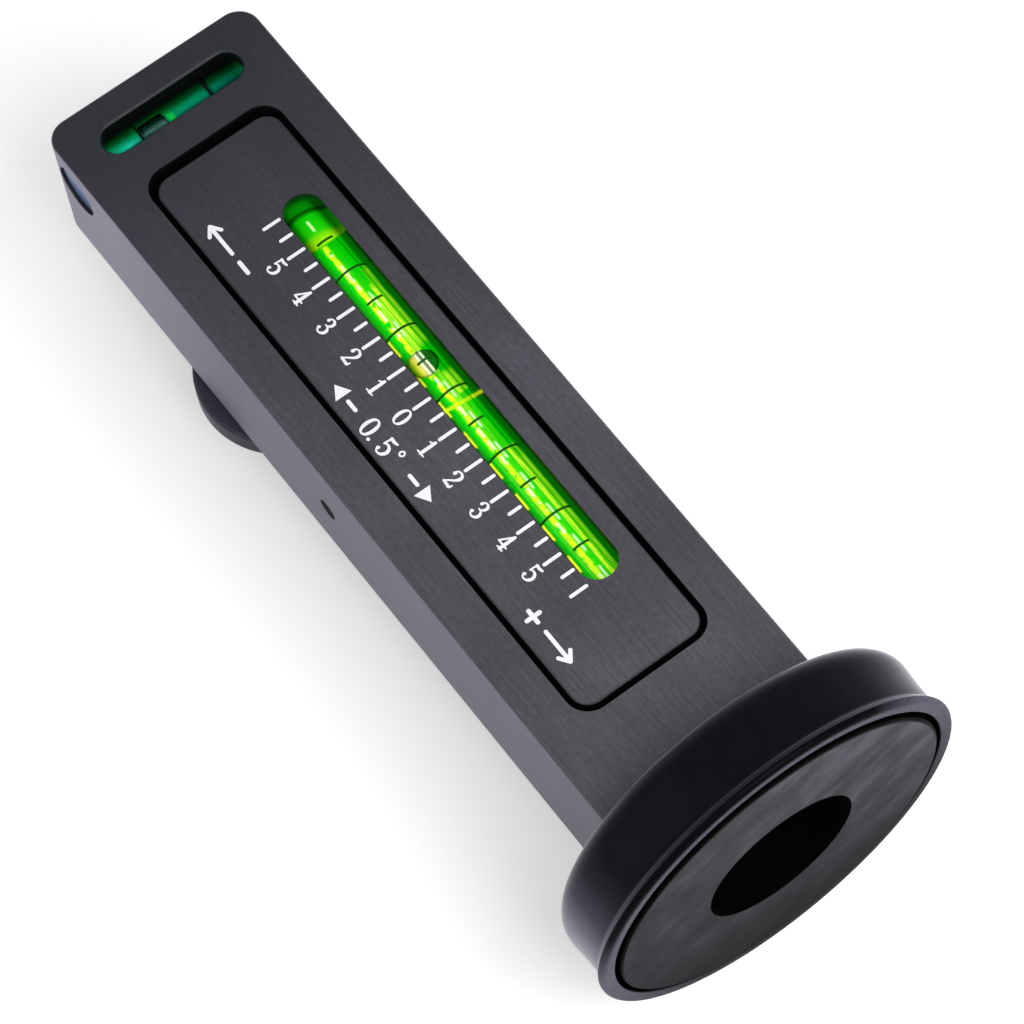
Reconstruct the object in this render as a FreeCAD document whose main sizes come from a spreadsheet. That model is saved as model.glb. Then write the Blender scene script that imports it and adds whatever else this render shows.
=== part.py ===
import FreeCAD, Part
import math
import os
import Sketcher
from FreeCAD import Placement, Rotation, Vector

# Camber and caster gauge with a magnetic foot, in millimetres.
#
# Origin: centre of the ring magnet's pulling face.  +Y runs along the bar towards its free
# end, +Z is up, out of the camber face, and +X is to the right when the camber face is read.
# The camber side is the +Z side of the bar and the caster side is the -Z side.

doc = FreeCAD.newDocument("CamberCasterGauge")

# ---------------------------------------------------------------- sizes
SIZES = [
    # the aluminium bar
    ("bar_width", 30.0),
    ("bar_front", 8.5),          # camber face above the magnet's axis
    ("bar_rear", 10.5),          # caster face below the magnet's axis
    ("bar_start", 10.8),         # end that meets the foot
    ("bar_end", 125.75),
    ("bar_corner", 3.0),         # rounded upright corners of the free end
    ("edge_break", 0.25),
    # the two pockets and the web between them
    ("pocket_width", 19.3),
    ("pocket_low", 23.8),
    ("pocket_high", 112.8),
    ("pocket_corner", 3.1),
    ("web_front", 1.7),
    ("web_rear", 1.0),
    # the two vial carriers
    ("carrier_width", 17.7),
    ("carrier_low", 24.7),
    ("carrier_high", 111.3),
    ("carrier_corner", 2.35),
    ("scale_zero", 67.53),       # zero of the camber scale, and the cradle's pivot
    # long vials
    ("vial_x", 3.72),
    ("vial_dia", 5.5),
    ("vial_bore", 4.4),
    ("vial_sink", 1.2),          # vial's crest below the face that shows it
    ("channel_width", 5.6),
    ("window_width", 5.25),
    ("plug_length", 2.5),
    ("camber_window_low", 36.4),
    ("camber_window_high", 99.6),
    ("camber_vial_length", 70.5),
    ("caster_zero", 54.5),
    ("caster_window_length", 48.0),
    ("caster_vial_length", 55.0),
    ("end_room", 0.25),
    # bubbles of the long vials
    ("bubble_width", 3.8),
    ("bubble_length", 3.5),
    ("bubble_height", 2.4),
    ("bubble_rise", 0.75),
    ("bubble_room", 0.1),
    ("camber_bubble_y", 73.15),
    # cross level
    ("level_y", 119.55),
    ("level_z", 3.0),
    ("level_bore", 7.0),
    ("level_bore_end", 12.0),
    ("level_window_length", 20.2),
    ("level_window_width", 4.3),
    ("level_vial_dia", 6.8),
    ("level_vial_bore", 5.4),
    ("level_vial_length", 24.0),
    ("level_vial_x", -0.2),
    ("level_plug_length", 2.0),
    ("level_bubble_x", -3.05),
    ("level_bubble_length", 4.0),
    ("level_bubble_width", 4.5),
    ("level_bubble_height", 3.0),
    ("level_bubble_rise", 1.0),
    ("bore_plug_recess", 0.5),
    ("bore_plug_length", 2.2),
    # pivot of the caster cradle
    ("pin_z", -1.1),
    ("pin_dia", 2.5),
    ("pin_mouth_dia", 2.9),
    ("pin_mouth_depth", 1.6),
    ("pin_end", 12.5),
    ("swing_room", 2.5),         # room between cradle and web for the swing
    ("lug_x", -3.5),
    ("lug_width", 7.0),
    ("lug_dia", 4.8),
    ("lug_slot_width", 7.8),
    ("lug_slot_length", 5.8),
    # zero wheel, its screw, washer, clip and spring
    ("wheel_x", -5.6),
    ("wheel_y", 92.3),
    ("wheel_dia", 22.2),
    ("wheel_face", 12.0),        # wheel's inner face below the magnet's axis
    ("wheel_thickness", 3.5),
    ("wheel_edge", 0.5),
    ("wheel_dish_dia", 17.0),
    ("wheel_dish_hub_dia", 8.4),
    ("wheel_dish_depth", 0.6),
    ("hub_dia", 7.4),
    ("hub_height", 0.7),
    ("washer_dia", 7.0),
    ("washer_thickness", 0.5),
    ("screw_dia", 3.0),
    ("screw_tip", 3.9),
    ("screw_head_dia", 5.6),
    ("drive_slot", 0.8),
    ("clip_level", 3.1),
    ("clip_thickness", 0.4),
    ("clip_dia", 5.0),
    ("groove_dia", 2.4),
    ("relief_dia", 6.6),
    ("relief_top", 5.9),
    ("screw_slot_width", 3.7),
    ("screw_slot_length", 4.7),
    ("spring_seat", 8.0),        # seat of the spring below the magnet's axis
    ("spring_well_dia", 5.4),
    ("spring_dia", 4.6),
    ("spring_wire", 0.5),
    ("spring_turns", 5.0),
    # screws of the camber carrier
    ("carrier_screw_x", -5.0),
    ("carrier_screw_reach", 37.0),
    ("carrier_screw_length", 6.5),
    ("carrier_hole_depth", 4.8),
    # magnetic foot
    ("magnet_dia", 45.0),
    ("magnet_bore", 20.0),
    ("magnet_thickness", 7.0),
    ("magnet_edge", 0.2),
    ("plate_dia", 44.6),
    ("plate_thickness", 3.0),
    ("foot_screw_dia", 5.0),
    ("foot_screw_head_dia", 10.0),
    ("foot_screw_end", 20.8),
    ("foot_hole_end", 21.5),
    ("hex_drive", 3.0),
    ("boot_inner_dia", 46.3),
    ("boot_mouth", 0.3),
    ("boot_lip_dia", 50.2),
    ("boot_lip_end", 1.1),
    ("boot_waist_dia", 48.5),
    ("boot_waist_start", 2.4),
    ("boot_waist_end", 5.0),
    ("boot_wall_dia", 48.9),
    ("boot_wall_start", 7.0),
    ("boot_shoulder", 3.0),
    ("boot_lip_round", 0.35),
    ("boot_waist_round", 1.2),
    # fits
    ("snug", 0.02),              # radial room of a part that is pressed or glued in
    ("running", 0.04),           # radial room of a part that turns or slides
]

sheet = doc.addObject("Spreadsheet::Sheet", "Dims")
for row, (alias, number) in enumerate(SIZES, start=1):
    sheet.set("A%d" % row, alias)
    sheet.set("B%d" % row, str(number))
    sheet.setAlias("B%d" % row, alias)
doc.recompute()


class Size:
    """A dimension: its value, and the expression that ties it to the sheet."""

    def __init__(self, value, text=None):
        self.value = float(value)
        self.text = text if text is not None else repr(float(value))

    def __add__(self, other):
        other = as_size(other)
        return Size(self.value + other.value, "(%s + %s)" % (self.text, other.text))

    def __sub__(self, other):
        other = as_size(other)
        return Size(self.value - other.value, "(%s - %s)" % (self.text, other.text))

    def __mul__(self, other):
        other = as_size(other)
        return Size(self.value * other.value, "(%s * %s)" % (self.text, other.text))

    def __truediv__(self, other):
        other = as_size(other)
        return Size(self.value / other.value, "(%s / %s)" % (self.text, other.text))

    def __neg__(self):
        return Size(-self.value, "(0 - %s)" % self.text)


class Sheet:
    """The sheet's cells by name, each as a Size."""

    def __getattr__(self, alias):
        return Size(sheet.get(alias), "Dims." + alias)


def as_size(number):
    return number if isinstance(number, Size) else Size(number)


def bind(feature, prop, size):
    """Ties one property of a feature to the sheet."""
    feature.setExpression(prop, as_size(size).text)


d = Sheet()

# Turns a part made along its own Z so that it runs along the bar or across it.
ALONG_BAR = Rotation(Vector(1, 0, 0), -90)
ACROSS_BAR = Rotation(Vector(0, 1, 0), 90)


def place(feature, x=0, y=0, z=0, turn=Rotation()):
    """Places a sub-part in the gauge's frame."""
    feature.Placement = Placement(Vector(as_size(x).value, as_size(y).value, as_size(z).value), turn)
    for axis, size in (("x", x), ("y", y), ("z", z)):
        if as_size(size).value:
            bind(feature, "Placement.Base." + axis, size)


def new_body(name, x=0, y=0, z=0, turn=Rotation()):
    body = doc.addObject("PartDesign::Body", name)
    body.Label = name
    place(body, x, y, z, turn)
    return body


# ---------------------------------------------------------------- sketches
def new_sketch(body, plane, lift=0):
    """A sketch on one of the body's own origin planes, lifted along that plane's normal."""
    sketch = body.newObject("Sketcher::SketchObject", "Sketch")
    support = [f for f in body.Origin.OriginFeatures if f.Role == plane][0]
    sketch.AttachmentSupport = [(support, "")]
    sketch.MapMode = "FlatFace"
    if as_size(lift).value:
        sketch.AttachmentOffset = Placement(Vector(0, 0, as_size(lift).value), Rotation())
        bind(sketch, "AttachmentOffset.Base.z", lift)
    return sketch


def fix_point(sketch, edge, end, u, v):
    """Dimensions one point of a sketch from the origin."""
    for kind, axis_line, size in (("DistanceX", -2, u), ("DistanceY", -1, v)):
        size = as_size(size)
        if size.value == 0:
            sketch.addConstraint(Sketcher.Constraint("PointOnObject", edge, end, axis_line))
            continue
        number = sketch.addConstraint(Sketcher.Constraint(kind, -1, 1, edge, end, size.value))
        sketch.setExpression("Constraints[%d]" % number, size.text)


def fix_radius(sketch, edge, radius):
    number = sketch.addConstraint(Sketcher.Constraint("Radius", edge, as_size(radius).value))
    sketch.setExpression("Constraints[%d]" % number, as_size(radius).text)


def draw_polygon(sketch, corners):
    """Closed polygon; every corner is dimensioned from the origin."""
    points = [Vector(as_size(u).value, as_size(v).value, 0) for u, v in corners]
    edges = [sketch.addGeometry(Part.LineSegment(a, b), False)
             for a, b in zip(points, points[1:] + points[:1])]
    for edge, after in zip(edges, edges[1:] + edges[:1]):
        sketch.addConstraint(Sketcher.Constraint("Coincident", edge, 2, after, 1))
    for edge, (u, v) in zip(edges, corners):
        fix_point(sketch, edge, 1, u, v)


def draw_rectangle(sketch, u_low, v_low, u_high, v_high):
    draw_polygon(sketch, [(u_low, v_low), (u_high, v_low), (u_high, v_high), (u_low, v_high)])


def draw_circle(sketch, u, v, dia):
    radius = as_size(dia) / 2
    centre = Vector(as_size(u).value, as_size(v).value, 0)
    edge = sketch.addGeometry(Part.Circle(centre, Vector(0, 0, 1), radius.value), False)
    fix_radius(sketch, edge, radius)
    fix_point(sketch, edge, 3, u, v)


def draw_slot(sketch, u_start, v_start, u_end, v_end, width):
    """Round-ended slot along one sketch axis; the ends are its tips, not its arc centres."""
    radius = as_size(width) / 2
    if as_size(u_start).value == as_size(u_end).value:
        first, last = (u_start, as_size(v_start) + radius), (u_end, as_size(v_end) - radius)
        turn = 0.0
    else:
        first, last = (as_size(u_start) + radius, v_start), (as_size(u_end) - radius, v_end)
        turn = -math.pi / 2
    first_centre = Vector(as_size(first[0]).value, as_size(first[1]).value, 0)
    last_centre = Vector(as_size(last[0]).value, as_size(last[1]).value, 0)
    up = Vector(0, 0, 1)
    side = Vector(math.cos(turn), math.sin(turn), 0) * radius.value
    arc_a = sketch.addGeometry(Part.ArcOfCircle(
        Part.Circle(first_centre, up, radius.value), turn + math.pi, turn + 2 * math.pi), False)
    line_a = sketch.addGeometry(Part.LineSegment(first_centre + side, last_centre + side), False)
    arc_b = sketch.addGeometry(Part.ArcOfCircle(
        Part.Circle(last_centre, up, radius.value), turn, turn + math.pi), False)
    line_b = sketch.addGeometry(Part.LineSegment(last_centre - side, first_centre - side), False)
    chain = [arc_a, line_a, arc_b, line_b]
    for edge, after in zip(chain, chain[1:] + chain[:1]):
        sketch.addConstraint(Sketcher.Constraint("Tangent", edge, 2, after, 1))
    sketch.addConstraint(Sketcher.Constraint("Equal", arc_a, arc_b))
    fix_radius(sketch, arc_a, radius)
    fix_point(sketch, arc_a, 3, *first)
    fix_point(sketch, arc_b, 3, *last)


# ---------------------------------------------------------------- features
def pad(body, sketch, length, reverse=False):
    feature = body.newObject("PartDesign::Pad", "Pad")
    feature.Profile = sketch
    bind(feature, "Length", length)
    feature.Reversed = reverse
    doc.recompute()
    return feature


def pocket(body, sketch, depth, reverse=False):
    """Cuts against the sketch's normal, or along it when reversed, and must remove material."""
    before = body.Shape.Volume
    feature = body.newObject("PartDesign::Pocket", "Pocket")
    feature.Profile = sketch
    bind(feature, "Length", depth)
    feature.Reversed = reverse
    doc.recompute()
    if not body.Shape.Volume < before - 1e-6:
        raise RuntimeError(body.Label + ": pocket cuts nothing")
    return feature


def pick_edges(feature, keep):
    """Names of the edges whose middle point and direction the test keeps."""
    names = []
    for number, edge in enumerate(feature.Shape.Edges, start=1):
        middle = edge.valueAt((edge.FirstParameter + edge.LastParameter) / 2)
        chord = edge.Vertexes[-1].Point - edge.Vertexes[0].Point
        if keep(middle, chord, edge):
            names.append("Edge%d" % number)
    return names


def dress(body, kind, base, names, size):
    """Fillet or chamfer on named edges of the last feature."""
    if not names:
        raise RuntimeError(body.Label + ": no edge to dress")
    feature = body.newObject("PartDesign::" + kind, kind)
    feature.Base = (base, names)
    bind(feature, "Radius" if kind == "Fillet" else "Size", size)
    doc.recompute()
    return feature


def upright_edges(feature, y_low=None):
    """Edges parallel to Z, optionally only those beyond y_low."""
    def keep(middle, chord, edge):
        upright = chord.Length > 1e-6 and abs(chord.z) > 0.999 * chord.Length
        return upright and (y_low is None or middle.y > y_low)
    return pick_edges(feature, keep)


def face_edges(feature, level, keep_length=None):
    """Edges that lie in the plane Z = level."""
    def keep(middle, chord, edge):
        flat = abs(edge.BoundBox.ZMin - level) < 1e-6 and abs(edge.BoundBox.ZMax - level) < 1e-6
        return flat and (keep_length is None or keep_length(middle, edge))
    return pick_edges(feature, keep)


def ring_edges(feature, radius, level):
    """Circles about Z of the given radius at the given height."""
    def keep(middle, chord, edge):
        flat = abs(edge.BoundBox.ZMin - level) < 1e-4 and abs(edge.BoundBox.ZMax - level) < 1e-4
        return flat and abs(math.hypot(middle.x, middle.y) - radius) < 1e-4
    return pick_edges(feature, keep)


def turned(body, profile):
    """Solid of revolution about the body's own Z from (radius, height) corners."""
    sketch = new_sketch(body, "XZ_Plane")
    draw_polygon(sketch, profile)
    feature = body.newObject("PartDesign::Revolution", "Revolution")
    feature.Profile = sketch
    feature.ReferenceAxis = (sketch, ["V_Axis"])
    feature.Angle = 360
    doc.recompute()
    return feature


def rod(name, dia, length, **where):
    """Plain round bar along its own Z."""
    body = new_body(name, **where)
    turned(body, [(0, 0), (as_size(dia) / 2, 0), (as_size(dia) / 2, length), (0, length)])
    return body


def tube(name, dia, bore, length, **where):
    """Plain tube along its own Z."""
    outer, inner = as_size(dia) / 2, as_size(bore) / 2
    body = new_body(name, **where)
    turned(body, [(inner, 0), (outer, 0), (outer, length), (inner, length)])
    return body


def mirrored_pair(name, source, normal, middle):
    """The part and its mirror image as one group."""
    twin = doc.addObject("Part::Mirroring", name + "_twin")
    twin.Source = source
    twin.Normal = normal
    twin.Base = Vector(*(as_size(c).value for c in middle))
    for axis, size in zip("xyz", middle):
        if as_size(size).value:
            bind(twin, "Base." + axis, size)
    group = doc.addObject("Part::Compound", name)
    group.Links = [source, twin]
    group.Label = name
    source.Label = name + "_first"
    doc.recompute()
    return group


NODES = []


def keep_node(feature):
    """Marks a finished sub-part for export under its label."""
    NODES.append(feature)
    return feature


# ---------------------------------------------------------------- bar
vial_depth = d.vial_sink + d.vial_dia / 2      # vial axis below the face that shows it
camber_vial_z = d.bar_front - vial_depth
caster_vial_z = -(d.bar_rear - vial_depth)
half_pocket = d.pocket_width / 2
carrier_screw_low = d.scale_zero - d.carrier_screw_reach
carrier_screw_high = d.scale_zero + d.carrier_screw_reach

bar = new_body("bar")
sketch = new_sketch(bar, "XY_Plane", -d.bar_rear)
draw_rectangle(sketch, -d.bar_width / 2, d.bar_start, d.bar_width / 2, d.bar_end)
block = pad(bar, sketch, d.bar_rear + d.bar_front)
block = dress(bar, "Fillet", block, upright_edges(block, d.bar_end.value - 1), d.bar_corner)


def outer_rim(middle, edge):
    return middle.y > d.bar_start.value + 1e-3


block = dress(bar, "Chamfer", block,
              face_edges(block, d.bar_front.value, outer_rim)
              + face_edges(block, -d.bar_rear.value, outer_rim), d.edge_break)

# pocket for the camber carrier, from the front
sketch = new_sketch(bar, "XY_Plane", d.bar_front)
draw_rectangle(sketch, -half_pocket, d.pocket_low, half_pocket, d.pocket_high)
pocket(bar, sketch, d.bar_front - d.web_front)
# pocket for the caster cradle, from the rear
sketch = new_sketch(bar, "XY_Plane", -d.bar_rear)
draw_rectangle(sketch, -half_pocket, d.pocket_low, half_pocket, d.pocket_high)
cut = pocket(bar, sketch, d.bar_rear - d.web_rear, reverse=True)


def pocket_corner_edges(middle, chord, edge):
    upright = chord.Length > 1e-6 and abs(chord.z) > 0.999 * chord.Length
    return upright and abs(abs(middle.x) - half_pocket.value) < 1e-3


cut = dress(bar, "Fillet", cut, pick_edges(cut, pocket_corner_edges), d.pocket_corner)

# slot through the web for the cradle's lug
sketch = new_sketch(bar, "XY_Plane", d.web_front)
draw_rectangle(sketch, d.lug_x - d.lug_slot_width / 2, d.scale_zero - d.lug_slot_length / 2,
               d.lug_x + d.lug_slot_width / 2, d.scale_zero + d.lug_slot_length / 2)
pocket(bar, sketch, d.web_front + d.web_rear)
# cross hole for the pivot pin, blind on the right, with a wider mouth on the left
sketch = new_sketch(bar, "YZ_Plane", -d.bar_width / 2)
draw_circle(sketch, d.scale_zero, d.pin_z, d.pin_dia + d.snug * 2)
pocket(bar, sketch, d.bar_width / 2 + d.pin_end, reverse=True)
sketch = new_sketch(bar, "YZ_Plane", -d.bar_width / 2)
draw_circle(sketch, d.scale_zero, d.pin_z, d.pin_mouth_dia)
pocket(bar, sketch, d.pin_mouth_depth, reverse=True)
# cross bore for the level vial and the window over it
sketch = new_sketch(bar, "YZ_Plane", -d.bar_width / 2)
draw_circle(sketch, d.level_y, d.level_z, d.level_bore)
pocket(bar, sketch, d.bar_width / 2 + d.level_bore_end, reverse=True)
sketch = new_sketch(bar, "XY_Plane", d.bar_front)
draw_slot(sketch, -d.level_window_length / 2, d.level_y,
          d.level_window_length / 2, d.level_y, d.level_window_width)
window = pocket(bar, sketch, d.bar_front - d.level_z)


def level_window_rim(middle, edge):
    return abs(middle.y - d.level_y.value) < d.level_window_width.value / 2 + 1e-3


dress(bar, "Chamfer", window, face_edges(window, d.bar_front.value, level_window_rim), d.edge_break)
# threaded hole of the zero wheel's screw, through the web
sketch = new_sketch(bar, "XY_Plane", d.web_front)
draw_circle(sketch, d.wheel_x, d.wheel_y, d.screw_dia + d.running * 2)
pocket(bar, sketch, d.web_front + d.web_rear)
# threaded hole of the foot's screw
sketch = new_sketch(bar, "XZ_Plane", -d.bar_start)
draw_circle(sketch, 0, 0, d.foot_screw_dia + d.snug * 2)
pocket(bar, sketch, d.foot_hole_end - d.bar_start)
# countersunk holes of the carrier's screws, opening on the web's rear
head_height = (d.screw_head_dia - d.screw_dia) / 2
for level in (carrier_screw_low, carrier_screw_high):
    sketch = new_sketch(bar, "YZ_Plane", d.carrier_screw_x)
    shank = d.screw_dia / 2 + d.snug
    head = d.screw_head_dia / 2 + d.snug
    draw_polygon(sketch, [(level, -d.web_rear), (level + head, -d.web_rear),
                          (level + shank, head_height - d.web_rear),
                          (level + shank, d.web_front), (level, d.web_front)])
    hole = bar.newObject("PartDesign::Groove", "Groove")
    hole.Profile = sketch
    # the hole's axis is the first line drawn on the screw's own centre line
    hole.ReferenceAxis = (sketch, ["Edge5"])
    hole.Angle = 360
    doc.recompute()
keep_node(bar)


# ---------------------------------------------------------------- camber side
def carrier_plate(name, thickness, y_origin, **where):
    """Plate with rounded upright corners, its low face on the body's own XY plane."""
    body = new_body(name, **where)
    sketch = new_sketch(body, "XY_Plane")
    draw_rectangle(sketch, -d.carrier_width / 2, d.carrier_low - y_origin,
                   d.carrier_width / 2, d.carrier_high - y_origin)
    plate = pad(body, sketch, thickness)
    dress(body, "Fillet", plate, upright_edges(plate), d.carrier_corner)
    return body


camber_thickness = d.bar_front - d.web_front
camber_axis = camber_vial_z - d.web_front      # vial axis above the carrier's seat
half_camber = d.camber_vial_length / 2 + d.end_room

camber_carrier = carrier_plate("camber_carrier", camber_thickness, d.scale_zero,
                               y=d.scale_zero, z=d.web_front)
# channel for the vial, open underneath
sketch = new_sketch(camber_carrier, "XY_Plane")
draw_rectangle(sketch, d.vial_x - d.channel_width / 2, -half_camber,
               d.vial_x + d.channel_width / 2, half_camber)
pocket(camber_carrier, sketch, camber_axis, reverse=True)
sketch = new_sketch(camber_carrier, "XZ_Plane", -half_camber)
draw_circle(sketch, d.vial_x, camber_axis, d.channel_width)
pocket(camber_carrier, sketch, half_camber * 2, reverse=True)
# window over the vial
sketch = new_sketch(camber_carrier, "XY_Plane", camber_thickness)
draw_slot(sketch, d.vial_x, d.camber_window_low - d.scale_zero,
          d.vial_x, d.camber_window_high - d.scale_zero, d.window_width)
pocket(camber_carrier, sketch, camber_thickness - camber_axis)
# blind holes for the two screws, and room for the zero wheel's screw tip
for level in (-d.carrier_screw_reach, d.carrier_screw_reach):
    sketch = new_sketch(camber_carrier, "XY_Plane")
    draw_circle(sketch, d.carrier_screw_x, level, d.screw_dia + d.snug * 2)
    pocket(camber_carrier, sketch, d.carrier_hole_depth, reverse=True)
sketch = new_sketch(camber_carrier, "XY_Plane")
draw_circle(sketch, d.wheel_x, d.wheel_y - d.scale_zero, d.relief_dia)
pocket(camber_carrier, sketch, d.relief_top - d.web_front, reverse=True)
top = camber_carrier.Tip
dress(camber_carrier, "Chamfer", top,
      face_edges(top, camber_thickness.value,
                 lambda middle, edge: max(abs(middle.x), abs(middle.y) / 5) > 8), d.edge_break)
keep_node(camber_carrier)


def vial_set(prefix, centre, length, axis_z):
    """Tube, two end plugs and the liquid of one long vial that lies along the bar."""
    start = centre - length / 2
    keep_node(tube(prefix + "_vial", d.vial_dia, d.vial_bore, length,
                   x=d.vial_x, y=start, z=axis_z, turn=ALONG_BAR))
    plug = rod(prefix + "_plug", d.vial_bore - d.snug * 2, d.plug_length,
               x=d.vial_x, y=start, z=axis_z, turn=ALONG_BAR)
    keep_node(mirrored_pair(prefix + "_vial_plugs", plug, Vector(0, 1, 0), (0, centre, 0)))


def liquid_pool(name, radius, length, lane_low, x, y, z, turn):
    """Liquid below the lane that the bubble runs in: a round bar with its top cut flat."""
    column = doc.addObject("Part::Cylinder", name + "_column")
    bind(column, "Radius", radius)
    bind(column, "Height", length)
    place(column, x, y, z, turn)
    lane = doc.addObject("Part::Box", name + "_lane")
    long_way = length + 2
    if turn.isSame(ALONG_BAR, 1e-6):
        bind(lane, "Length", radius * 4)
        bind(lane, "Width", long_way)
        place(lane, as_size(x) - radius * 2, as_size(y) - 1, as_size(z) + lane_low)
    else:
        bind(lane, "Length", long_way)
        bind(lane, "Width", radius * 4)
        place(lane, as_size(x) - 1, as_size(y) - radius * 2, as_size(z) + lane_low)
    bind(lane, "Height", radius * 2)
    pool = doc.addObject("Part::Cut", name)
    pool.Base = column
    pool.Tool = lane
    pool.Label = name
    doc.recompute()
    return keep_node(pool)


def air_bubble(name, length, width, height, along_bar, x, y, z):
    """Flattened air bubble."""
    bubble = doc.addObject("Part::Ellipsoid", name)
    bubble.Label = name
    across, along = as_size(width) / 2, as_size(length) / 2
    bind(bubble, "Radius1", as_size(height) / 2)
    bind(bubble, "Radius2", across if along_bar else along)
    bind(bubble, "Radius3", along if along_bar else across)
    place(bubble, x, y, z)
    doc.recompute()
    return keep_node(bubble)


def vial_bed(name, centre, length, axis_z, open_z):
    """Potting that holds the vial in its channel, from the open side up to the vial's axis."""
    width = d.channel_width - d.snug * 2
    block = doc.addObject("Part::Box", name + "_block")
    bind(block, "Length", width)
    bind(block, "Width", length)
    low, high = (open_z, axis_z) if as_size(open_z).value < as_size(axis_z).value else (axis_z, open_z)
    bind(block, "Height", as_size(high) - low)
    place(block, d.vial_x - width / 2, centre - length / 2, low)
    groove = doc.addObject("Part::Cylinder", name + "_groove")
    bind(groove, "Radius", d.vial_dia / 2 + d.snug)
    bind(groove, "Height", length + 2)
    place(groove, d.vial_x, centre - length / 2 - 1, axis_z, ALONG_BAR)
    bed = doc.addObject("Part::Cut", name)
    bed.Base = block
    bed.Tool = groove
    bed.Label = name
    doc.recompute()
    return keep_node(bed)


liquid_radius = d.vial_bore / 2 - d.snug
pool_top = d.bubble_rise - d.bubble_height / 2 - d.bubble_room
camber_liquid_length = d.camber_vial_length - (d.plug_length + d.snug) * 2
vial_set("camber", d.scale_zero, d.camber_vial_length, camber_vial_z)
liquid_pool("camber_liquid", liquid_radius, camber_liquid_length, pool_top,
            d.vial_x, d.scale_zero - camber_liquid_length / 2, camber_vial_z, ALONG_BAR)
air_bubble("camber_bubble", d.bubble_length, d.bubble_width, d.bubble_height, True,
           d.vial_x, d.camber_bubble_y, camber_vial_z + d.bubble_rise)
vial_bed("camber_vial_bed", d.scale_zero, d.camber_vial_length, camber_vial_z,
         d.web_front + d.snug)


def countersunk_screw(name, length, **where):
    """Slotted countersunk M3 screw: head face on its own XY plane, shank along +Z."""
    body = new_body(name, **where)
    turned(body, [(0, 0), (d.screw_head_dia / 2, 0), (d.screw_dia / 2, head_height),
                  (d.screw_dia / 2, length), (0, length)])
    sketch = new_sketch(body, "XY_Plane")
    draw_rectangle(sketch, -d.drive_slot / 2, -d.screw_head_dia, d.drive_slot / 2, d.screw_head_dia)
    pocket(body, sketch, d.drive_slot, reverse=True)
    return body


carrier_screw = countersunk_screw("carrier_screw", d.carrier_screw_length,
                                  x=d.carrier_screw_x, y=carrier_screw_low, z=-d.web_rear)
keep_node(mirrored_pair("camber_carrier_screws", carrier_screw, Vector(0, 1, 0),
                        (0, d.scale_zero, 0)))

# ---------------------------------------------------------------- caster side
# The cradle's frame stands on the pivot pin, with its own Z towards the caster face.
pivot_drop = d.bar_rear + d.pin_z              # pin axis to the cradle's outer face
cradle_inner = d.web_rear + d.pin_z + d.swing_room
cradle_thickness = pivot_drop - cradle_inner
half_caster = d.caster_vial_length / 2 + d.end_room
caster_shift = d.caster_zero - d.scale_zero

caster_cradle = new_body("caster_cradle", y=d.scale_zero, z=d.pin_z)
# plate between its outer face, flush with the bar's rear, and its inner face
sketch = new_sketch(caster_cradle, "XY_Plane", -pivot_drop)
draw_rectangle(sketch, -d.carrier_width / 2, d.carrier_low - d.scale_zero,
               d.carrier_width / 2, d.carrier_high - d.scale_zero)
plate = pad(caster_cradle, sketch, cradle_thickness)
plate = dress(caster_cradle, "Fillet", plate, upright_edges(plate), d.carrier_corner)
# lug around the pin: two cheeks' worth of width, round over the pin
sketch = new_sketch(caster_cradle, "YZ_Plane", d.lug_x - d.lug_width / 2)
lug_radius = d.lug_dia / 2
draw_rectangle(sketch, -lug_radius, -cradle_inner - 0.5, lug_radius, 0)
pad(caster_cradle, sketch, d.lug_width)
sketch = new_sketch(caster_cradle, "YZ_Plane", d.lug_x - d.lug_width / 2)
draw_circle(sketch, 0, 0, d.lug_dia)
pad(caster_cradle, sketch, d.lug_width)
sketch = new_sketch(caster_cradle, "YZ_Plane", d.lug_x - d.lug_width / 2)
draw_circle(sketch, 0, 0, d.pin_dia + d.running * 2)
pocket(caster_cradle, sketch, d.lug_width, reverse=True)
# channel for the vial, open towards the web, and the window over it
caster_axis = caster_vial_z - d.pin_z
sketch = new_sketch(caster_cradle, "XY_Plane", -cradle_inner)
draw_rectangle(sketch, d.vial_x - d.channel_width / 2, caster_shift - half_caster,
               d.vial_x + d.channel_width / 2, caster_shift + half_caster)
pocket(caster_cradle, sketch, -cradle_inner - caster_axis)
sketch = new_sketch(caster_cradle, "XZ_Plane", half_caster - caster_shift)
draw_circle(sketch, d.vial_x, caster_axis, d.channel_width)
pocket(caster_cradle, sketch, half_caster * 2)
sketch = new_sketch(caster_cradle, "XY_Plane", -pivot_drop)
draw_slot(sketch, d.vial_x, caster_shift - d.caster_window_length / 2,
          d.vial_x, caster_shift + d.caster_window_length / 2, d.window_width)
pocket(caster_cradle, sketch, vial_depth, reverse=True)
# slot for the zero screw, and the well of the spring around it
screw_shift = d.wheel_y - d.scale_zero
sketch = new_sketch(caster_cradle, "XY_Plane", -pivot_drop)
draw_slot(sketch, d.wheel_x, screw_shift - d.screw_slot_length / 2,
          d.wheel_x, screw_shift + d.screw_slot_length / 2, d.screw_slot_width)
pocket(caster_cradle, sketch, cradle_thickness, reverse=True)
sketch = new_sketch(caster_cradle, "XY_Plane", -cradle_inner)
draw_circle(sketch, d.wheel_x, screw_shift, d.spring_well_dia)
pocket(caster_cradle, sketch, d.spring_seat + d.pin_z - cradle_inner)
keep_node(caster_cradle)

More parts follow.
